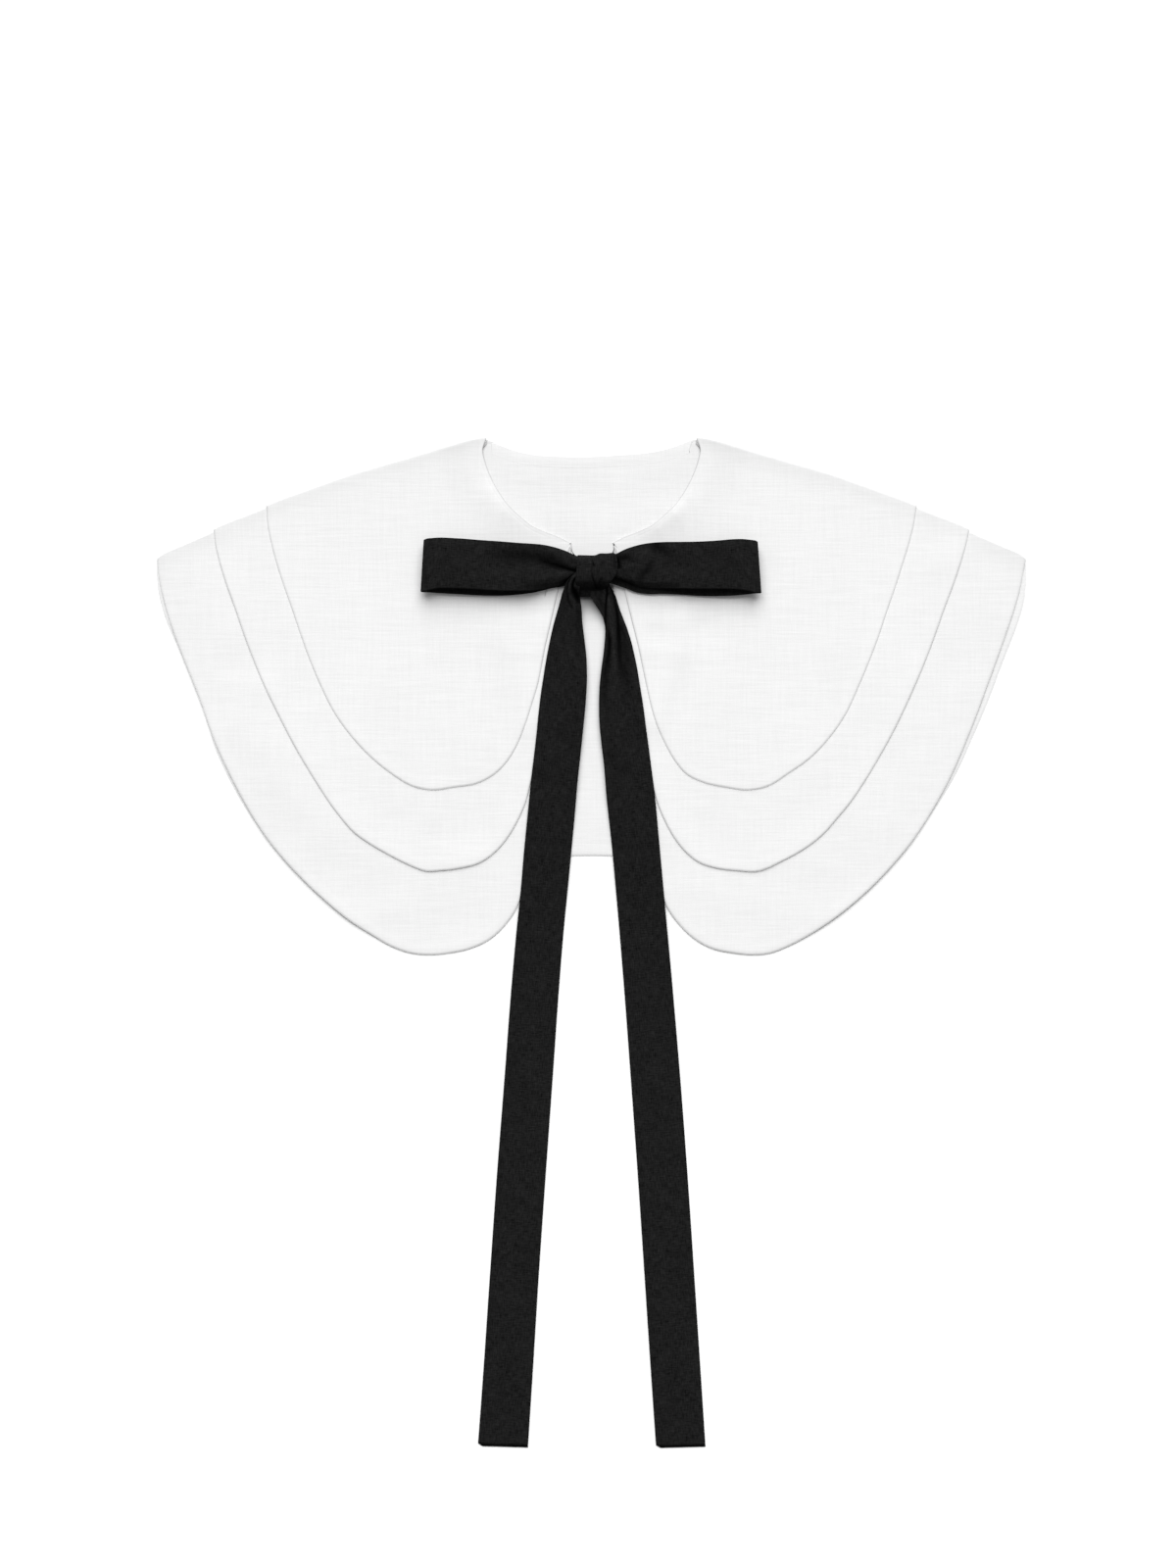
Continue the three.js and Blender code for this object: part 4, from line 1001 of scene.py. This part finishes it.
def knot_piece(ply):
    """The knot: the tie wrapped once round the loops and the hanging ends"""
    once = np.array(KNOT_ROUND)
    keys = np.arange(len(once) + 2 * KNOT_OVERLAP) - float(KNOT_OVERLAP)
    turn = np.linspace(0, len(once), KNOT_STATIONS)
    row, height, left, right = smooth_through(keys, once[keys.astype(int) % len(once)], turn).T
    height = height * MM
    across = spaced(TIE_EDGE_STEPS, KNOT_COLUMNS, KNOT_WIDTH)
    u = (across / across[-1])[:, None]
    column = mix(left, right, u)
    x, y = photo_place(column, row + 0 * u)
    front = ease((height - KNOT_FRONT[0]) / KNOT_FRONT[1])
    top = ease((KNOT_TOP_ROWS[0] - row) / KNOT_TOP_ROWS[1]) * front
    y = y - column_of(KNOT_TOP, column, 1) * PIXEL * top
    creased, sharp = (part * front for part in folds(x, y, TIE_FOLDS["bow_knot"]))
    tuck = np.abs(2 * u - 1) ** KNOT_TUCK_SHARPNESS
    middle = seen_at(x, y, height - KNOT_TUCK * tuck * front + creased)
    middle[:, -1] = middle[:, 0]
    from_edge = np.repeat(from_ends(across)[:, None], len(turn), 1)
    pattern = cloth_places(x, np.linspace(0, KNOT_LENGTH, len(turn)), from_edge)
    # painted shade, darker low down on the knot's front
    under_knot_shade = mix(1, np.interp(height, KNOT_DARK_HEIGHTS, KNOT_DARKNESS), front)
    shade = np.interp(sharp, CREASE_SHARPNESS, CREASE_SHADE) * under_knot_shade
    return cloth("bow_knot", middle, rounded(from_edge, ply), pattern, shade, ring=True)


ROOT_WIDTH = 10 * MM
ROOT_COLUMNS = 6
ROOT_STATIONS = 20
ROOT_CLEARANCE = 0.2 * MM
ROOT_RISE = 2.5 * MM           # it rises by this much into the knot


def root_piece(lie, name, ply):
    """A sewn end of the tie, from the front corner to the knot"""
    table = np.array(TIE_ROOTS[name])
    line = Line(np.stack(photo_place(table[:, 0], table[:, 1]), 1))
    along = spaced(SHORT_STEPS, ROOT_STATIONS, line.length)
    half = np.interp(along, np.linspace(0, line.length, len(table)), table[:, 2] * MM / 2)
    across = spaced(SHORT_STEPS, ROOT_COLUMNS, ROOT_WIDTH)
    offset = (2 * across / ROOT_WIDTH - 1) * half[:, None]
    plan = line.at(along)[:, None, :] + line.left(along)[:, None, :] * offset[..., None]
    height = lie.pile(plan[..., 0], plan[..., 1]) + ply / 2 + ROOT_CLEARANCE
    height = height + ROOT_RISE * ease(along / line.length)[:, None]
    from_edge = np.minimum.outer(from_ends(along), from_ends(across))
    middle, pattern = np.dstack([plan, height]), np.dstack([plan, from_edge])
    return cloth(name, middle, rounded(from_edge, ply), pattern, np.ones(from_edge.shape), turned=True)


# Materials
class Wire:
    """A value in a material, so that shader maths reads as Python expressions"""

    def __init__(self, tree, socket):
        self.tree, self.socket = tree, socket

    def maths(self, operation, first, second):
        return node(self.tree, "ShaderNodeMath", {"operation": operation}, {0: first, 1: second})

    def __add__(self, other):
        return self.maths("ADD", self, other)

    def __sub__(self, other):
        return self.maths("SUBTRACT", self, other)

    def __rsub__(self, other):
        return self.maths("SUBTRACT", other, self)

    def __mul__(self, other):
        return self.maths("MULTIPLY", self, other)

    __radd__, __rmul__ = __add__, __mul__


def node(tree, kind, settings=None, sockets=None, output=0):
    """A node with its settings, then the values or links of its sockets. It returns one of its outputs."""
    made = tree.nodes.new(kind)
    for key, value in (settings or {}).items():
        setattr(made, key, value)
    for key, value in (sockets or {}).items():
        if isinstance(value, Wire):
            tree.links.new(value.socket, made.inputs[key])
        else:
            made.inputs[key].default_value = value
    return Wire(tree, made.outputs[output]) if made.outputs else None


def new_material(name):
    made = bpy.data.materials.new(name)
    made.use_nodes = True
    made.node_tree.nodes.clear()
    return made, made.node_tree


def streaks(tree, place, scale):
    """Uneven yarns: noise drawn out along one direction"""
    mapped = node(tree, "ShaderNodeMapping", {"vector_type": "POINT"}, {"Vector": place, "Scale": scale})
    return node(tree, "ShaderNodeTexNoise", {"noise_dimensions": "3D"}, {"Vector": mapped, "Scale": 1.0})


def both_ways(tree, place, scales):
    """Uneven yarns both ways. scales: waves a metre along a yarn, across it and up through the cloth."""
    along, across, up = scales
    return streaks(tree, place, (along, across, up)), streaks(tree, place, (across, along, up))


def clouds(tree, place, scale, detail):
    return node(tree, "ShaderNodeTexNoise", {}, {"Vector": place, "Scale": scale, "Detail": detail})


def shaded(tree, colour, shade):
    """A colour by a pattern and by the painted light and shade that a piece holds in its shade attribute"""
    shade = shade * node(tree, "ShaderNodeAttribute", {"attribute_name": "shade"}, {}, "Fac")
    return node(tree, "ShaderNodeMix", {"data_type": "RGBA", "blend_type": "MULTIPLY"},
                {"Factor": 1.0, "A": (*colour, 1), "B": shade}, "Result")


def bumps(tree, strength, distance, height):
    return node(tree, "ShaderNodeBump", {}, {"Strength": strength, "Distance": distance, "Height": height})


def surface(tree, sockets):
    shader = node(tree, "ShaderNodeBsdfPrincipled", {}, sockets)
    node(tree, "ShaderNodeOutputMaterial", {}, {"Surface": shader})


LINEN_SLUBS = (28, 620, 30)
LINEN_YARNS = (160, 1900, 60)
WEFT_SLUBS = 1.15              # how strong the slubs of the two directions are
WARP_SLUBS = 0.75
SLUB_SHADE = 0.11              # how much the slubs, the yarns and wide clouds change the linen's colour
YARN_SHADE = 0.05
CLOUD_SHADE = 0.035


def white_linen(settings):
    """Plain linen with slubs both ways"""
    material, tree = new_material("white_linen_woven")
    place = node(tree, "ShaderNodeTexCoord", {}, {}, "Object")
    weft, warp = both_ways(tree, place, LINEN_SLUBS)
    slubs = weft * WEFT_SLUBS + warp * WARP_SLUBS - (WEFT_SLUBS + WARP_SLUBS) / 2
    weft, warp = both_ways(tree, place, LINEN_YARNS)
    yarns = weft + warp - 1.0
    cloudy = clouds(tree, place, 22.0, 3.0)
    shade = 1.0 + slubs * SLUB_SHADE + yarns * YARN_SHADE + (cloudy - 0.5) * CLOUD_SHADE
    surface(tree, {
        "Base Color": shaded(tree, settings.linen, shade), "Roughness": 0.92, "Specular IOR Level": 0.2,
        "Normal": bumps(tree, 0.5, 0.12 * MM, yarns + slubs * 0.8),
    })
    return material


TIE_THREADS = (170, 1150, 0)
THREAD_SHADE = 2.2             # how much the threads, a mottle and wider clouds change the tie's colour
MOTTLE_SHADE = 0.9
TIE_CLOUD_SHADE = 0.8


def black_cloth(settings):
    """Fine black cloth, its weave along the tie"""
    material, tree = new_material("black_cloth_woven")
    place = node(tree, "ShaderNodeAttribute", {"attribute_name": "weave"}, {}, "Vector")
    weft, warp = both_ways(tree, place, TIE_THREADS)
    threads = weft + warp - 1.0
    mottle = clouds(tree, place, 900.0, 2.0)
    cloudy = clouds(tree, place, 90.0, 2.0)
    shade = 1.0 + threads * THREAD_SHADE + (mottle - 0.5) * MOTTLE_SHADE + (cloudy - 0.5) * TIE_CLOUD_SHADE
    surface(tree, {
        "Base Color": shaded(tree, settings.tie, shade), "Roughness": 0.85, "Specular IOR Level": 0.05,
        "Normal": bumps(tree, 0.6, 0.15 * MM, threads),
    })
    return material


def white_table():
    material, tree = new_material("white_table")
    surface(tree, {"Base Color": (0.93, 0.93, 0.93, 1), "Roughness": 1.0, "Specular IOR Level": 0.0})
    return material


def shared_material(name, make):
    return bpy.data.materials.get(name) or make(bpy.context.scene.collar)


# Add-on
LENGTH = {"subtype": "DISTANCE", "unit": "LENGTH"}
ANGLE = {"subtype": "ANGLE", "unit": "ROTATION"}
COLOUR = {"subtype": "COLOR", "min": 0, "max": 1}


class CollarSettings(bpy.types.PropertyGroup):
    ply: FloatProperty(
        name="Linen", description="Thickness of a tier, two layers sewn together", default=0.7 * MM, **LENGTH)
    pitch: FloatProperty(
        name="Layer distance", description="From one tier to the next in the pile",
        default=0.95 * MM, **LENGTH)
    hem_lift: FloatProperty(
        name="Hem lift", description="How far the hems of the fronts stand off what is below",
        default=0.35 * MM, **LENGTH)
    tie_ply: FloatProperty(
        name="Tie", description="Thickness of the tie, a tube of cloth pressed flat",
        default=0.8 * MM, **LENGTH)
    linen: FloatVectorProperty(
        name="Linen colour", description="Colour of the tiers", default=(0.78, 0.78, 0.78), **COLOUR)
    tie: FloatVectorProperty(
        name="Tie colour", description="Colour of the bow and the hanging ends",
        default=(0.0092, 0.0092, 0.0092), **COLOUR)
    key_light: FloatProperty(
        name="Key light", description="Strength of the large light beyond the neck", default=3.95)
    key_size: FloatProperty(
        name="Key size", description="How wide the large light looks from the collar",
        default=math.radians(60), **ANGLE)
    key_height: FloatProperty(
        name="Key height", description="How high the large light stands", default=math.radians(45), **ANGLE)
    fill_light: FloatProperty(
        name="Fill light", description="Brightness of the white surroundings", default=0.29)


def settle(piece, slot, make):
    """What every piece gets: its material and its body; the imported part that it stands for is hidden."""
    piece.data.materials.append(shared_material(slot + "_woven", make))
    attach(piece, "root")
    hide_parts(piece.name.removesuffix("_cloth"))
    return piece


class COLLAR_OT_tiers(bpy.types.Operator):
    """Add the three tiers of the collar"""

    bl_idname = "collar.tiers"
    bl_label = "Add Tiers"

    # Width and length of the cloth as it was cut, and its area
    FLAT = {
        "tier_upper": (0.70, 0.42, 0.202),
        "tier_middle": (0.82, 0.50, 0.284),
        "tier_lower": (0.94, 0.60, 0.395),
    }

    def execute(self, context):
        lie = Lie(context.scene.collar)
        for name in TIERS:
            piece = settle(tier_piece(lie, name), "white_linen", white_linen)
        return {"FINISHED"}


class COLLAR_OT_binding(bpy.types.Operator):
    """Add the binding inside the back neck edge"""

    bl_idname = "collar.binding"
    bl_label = "Add Binding"

    def execute(self, context):
        piece = settle(binding_piece(Lie(context.scene.collar)), "white_linen", white_linen)
        return {"FINISHED"}


class COLLAR_OT_bow(bpy.types.Operator):
    """Add the knot and the two loops of the bow"""

    bl_idname = "collar.bow"
    bl_label = "Add Bow"

    def execute(self, context):
        lie = Lie(context.scene.collar)
        ply = context.scene.collar.tie_ply
        knot = settle(knot_piece(ply), "black_cloth", black_cloth)
        for name in LOOPS:
            loop = settle(loop_piece(lie, name, ply), "black_cloth", black_cloth)
        return {"FINISHED"}


class COLLAR_OT_ends(bpy.types.Operator):
    """Add the hanging ends of the tie and its sewn ends"""

    bl_idname = "collar.ends"
    bl_label = "Add Tie Ends"

    def execute(self, context):
        lie = Lie(context.scene.collar)
        ply = context.scene.collar.tie_ply
        for name in TAILS:
            tail = settle(tail_piece(lie, name, ply), "black_cloth", black_cloth)
        for name in TIE_ROOTS:
            root = settle(root_piece(lie, name, ply), "black_cloth", black_cloth)
        return {"FINISHED"}


TABLE_SIZE = 8
SENSOR_HEIGHT = 24.0           # in millimetres, as a lens is
FARTHEST_SEEN = 50


class COLLAR_OT_stage(bpy.types.Operator):
    """Add the table, the light and the camera straight above"""

    bl_idname = "collar.stage"
    bl_label = "Add Stage"

    def execute(self, context):
        scene, settings = context.scene, context.scene.collar
        middle = Vector((*photo_place(*CAMERA_AIM), 0))
        mesh = bmesh.new()
        bmesh.ops.create_grid(mesh, x_segments=1, y_segments=1, size=TABLE_SIZE)
        floor = finished("floor", mesh)
        floor.data.materials.append(white_table())

        key = bpy.data.lights.new("key", "SUN")
        key.energy, key.angle = settings.key_light, settings.key_size
        lamp = bpy.data.objects.new("key", key)
        lamp.location = middle + Vector((0, math.cos(settings.key_height), math.sin(settings.key_height)))
        lamp.rotation_euler = (middle - lamp.location).to_track_quat("-Z", "Y").to_euler()
        scene.collection.objects.link(lamp)

        scene.world = bpy.data.worlds.new("surroundings")
        scene.world.use_nodes = True
        backdrop = scene.world.node_tree.nodes["Background"]
        backdrop.inputs["Color"].default_value = (1, 1, 1, 1)
        backdrop.inputs["Strength"].default_value = settings.fill_light
        scene.view_settings.view_transform = "Standard"

        lens = bpy.data.cameras.new("camera")
        lens.sensor_fit, lens.sensor_height = "VERTICAL", SENSOR_HEIGHT
        lens.lens = SENSOR_HEIGHT * CAMERA_HEIGHT / (PHOTO_ROWS * PIXEL)
        lens.clip_end = FARTHEST_SEEN
        camera = bpy.data.objects.new("camera", lens)
        camera.location = middle + Vector((0, 0, CAMERA_HEIGHT))
        scene.collection.objects.link(camera)
        scene.camera = camera
        return {"FINISHED"}


class COLLAR_PT_panel(bpy.types.Panel):
    """The collar's settings and pieces"""

    bl_label = "Collar"
    bl_space_type = "VIEW_3D"
    bl_region_type = "UI"
    bl_category = "Collar"

    def draw(self, context):
        for setting in CollarSettings.__annotations__:
            self.layout.prop(context.scene.collar, setting)
        for operator in OPERATORS:
            self.layout.operator(operator.bl_idname)


OPERATORS = (COLLAR_OT_stage, COLLAR_OT_tiers, COLLAR_OT_binding, COLLAR_OT_bow, COLLAR_OT_ends)
CLASSES = (CollarSettings, *OPERATORS, COLLAR_PT_panel)


def register():
    for item in CLASSES:
        bpy.utils.register_class(item)
    bpy.types.Scene.collar = PointerProperty(type=CollarSettings)


def unregister():
    del bpy.types.Scene.collar
    for item in reversed(CLASSES):
        bpy.utils.unregister_class(item)


def main():
    register()
    bpy.ops.collar.stage()
    bpy.ops.collar.tiers()
    bpy.ops.collar.binding()
    bpy.ops.collar.bow()
    bpy.ops.collar.ends()


if __name__ == "__main__":
    main()
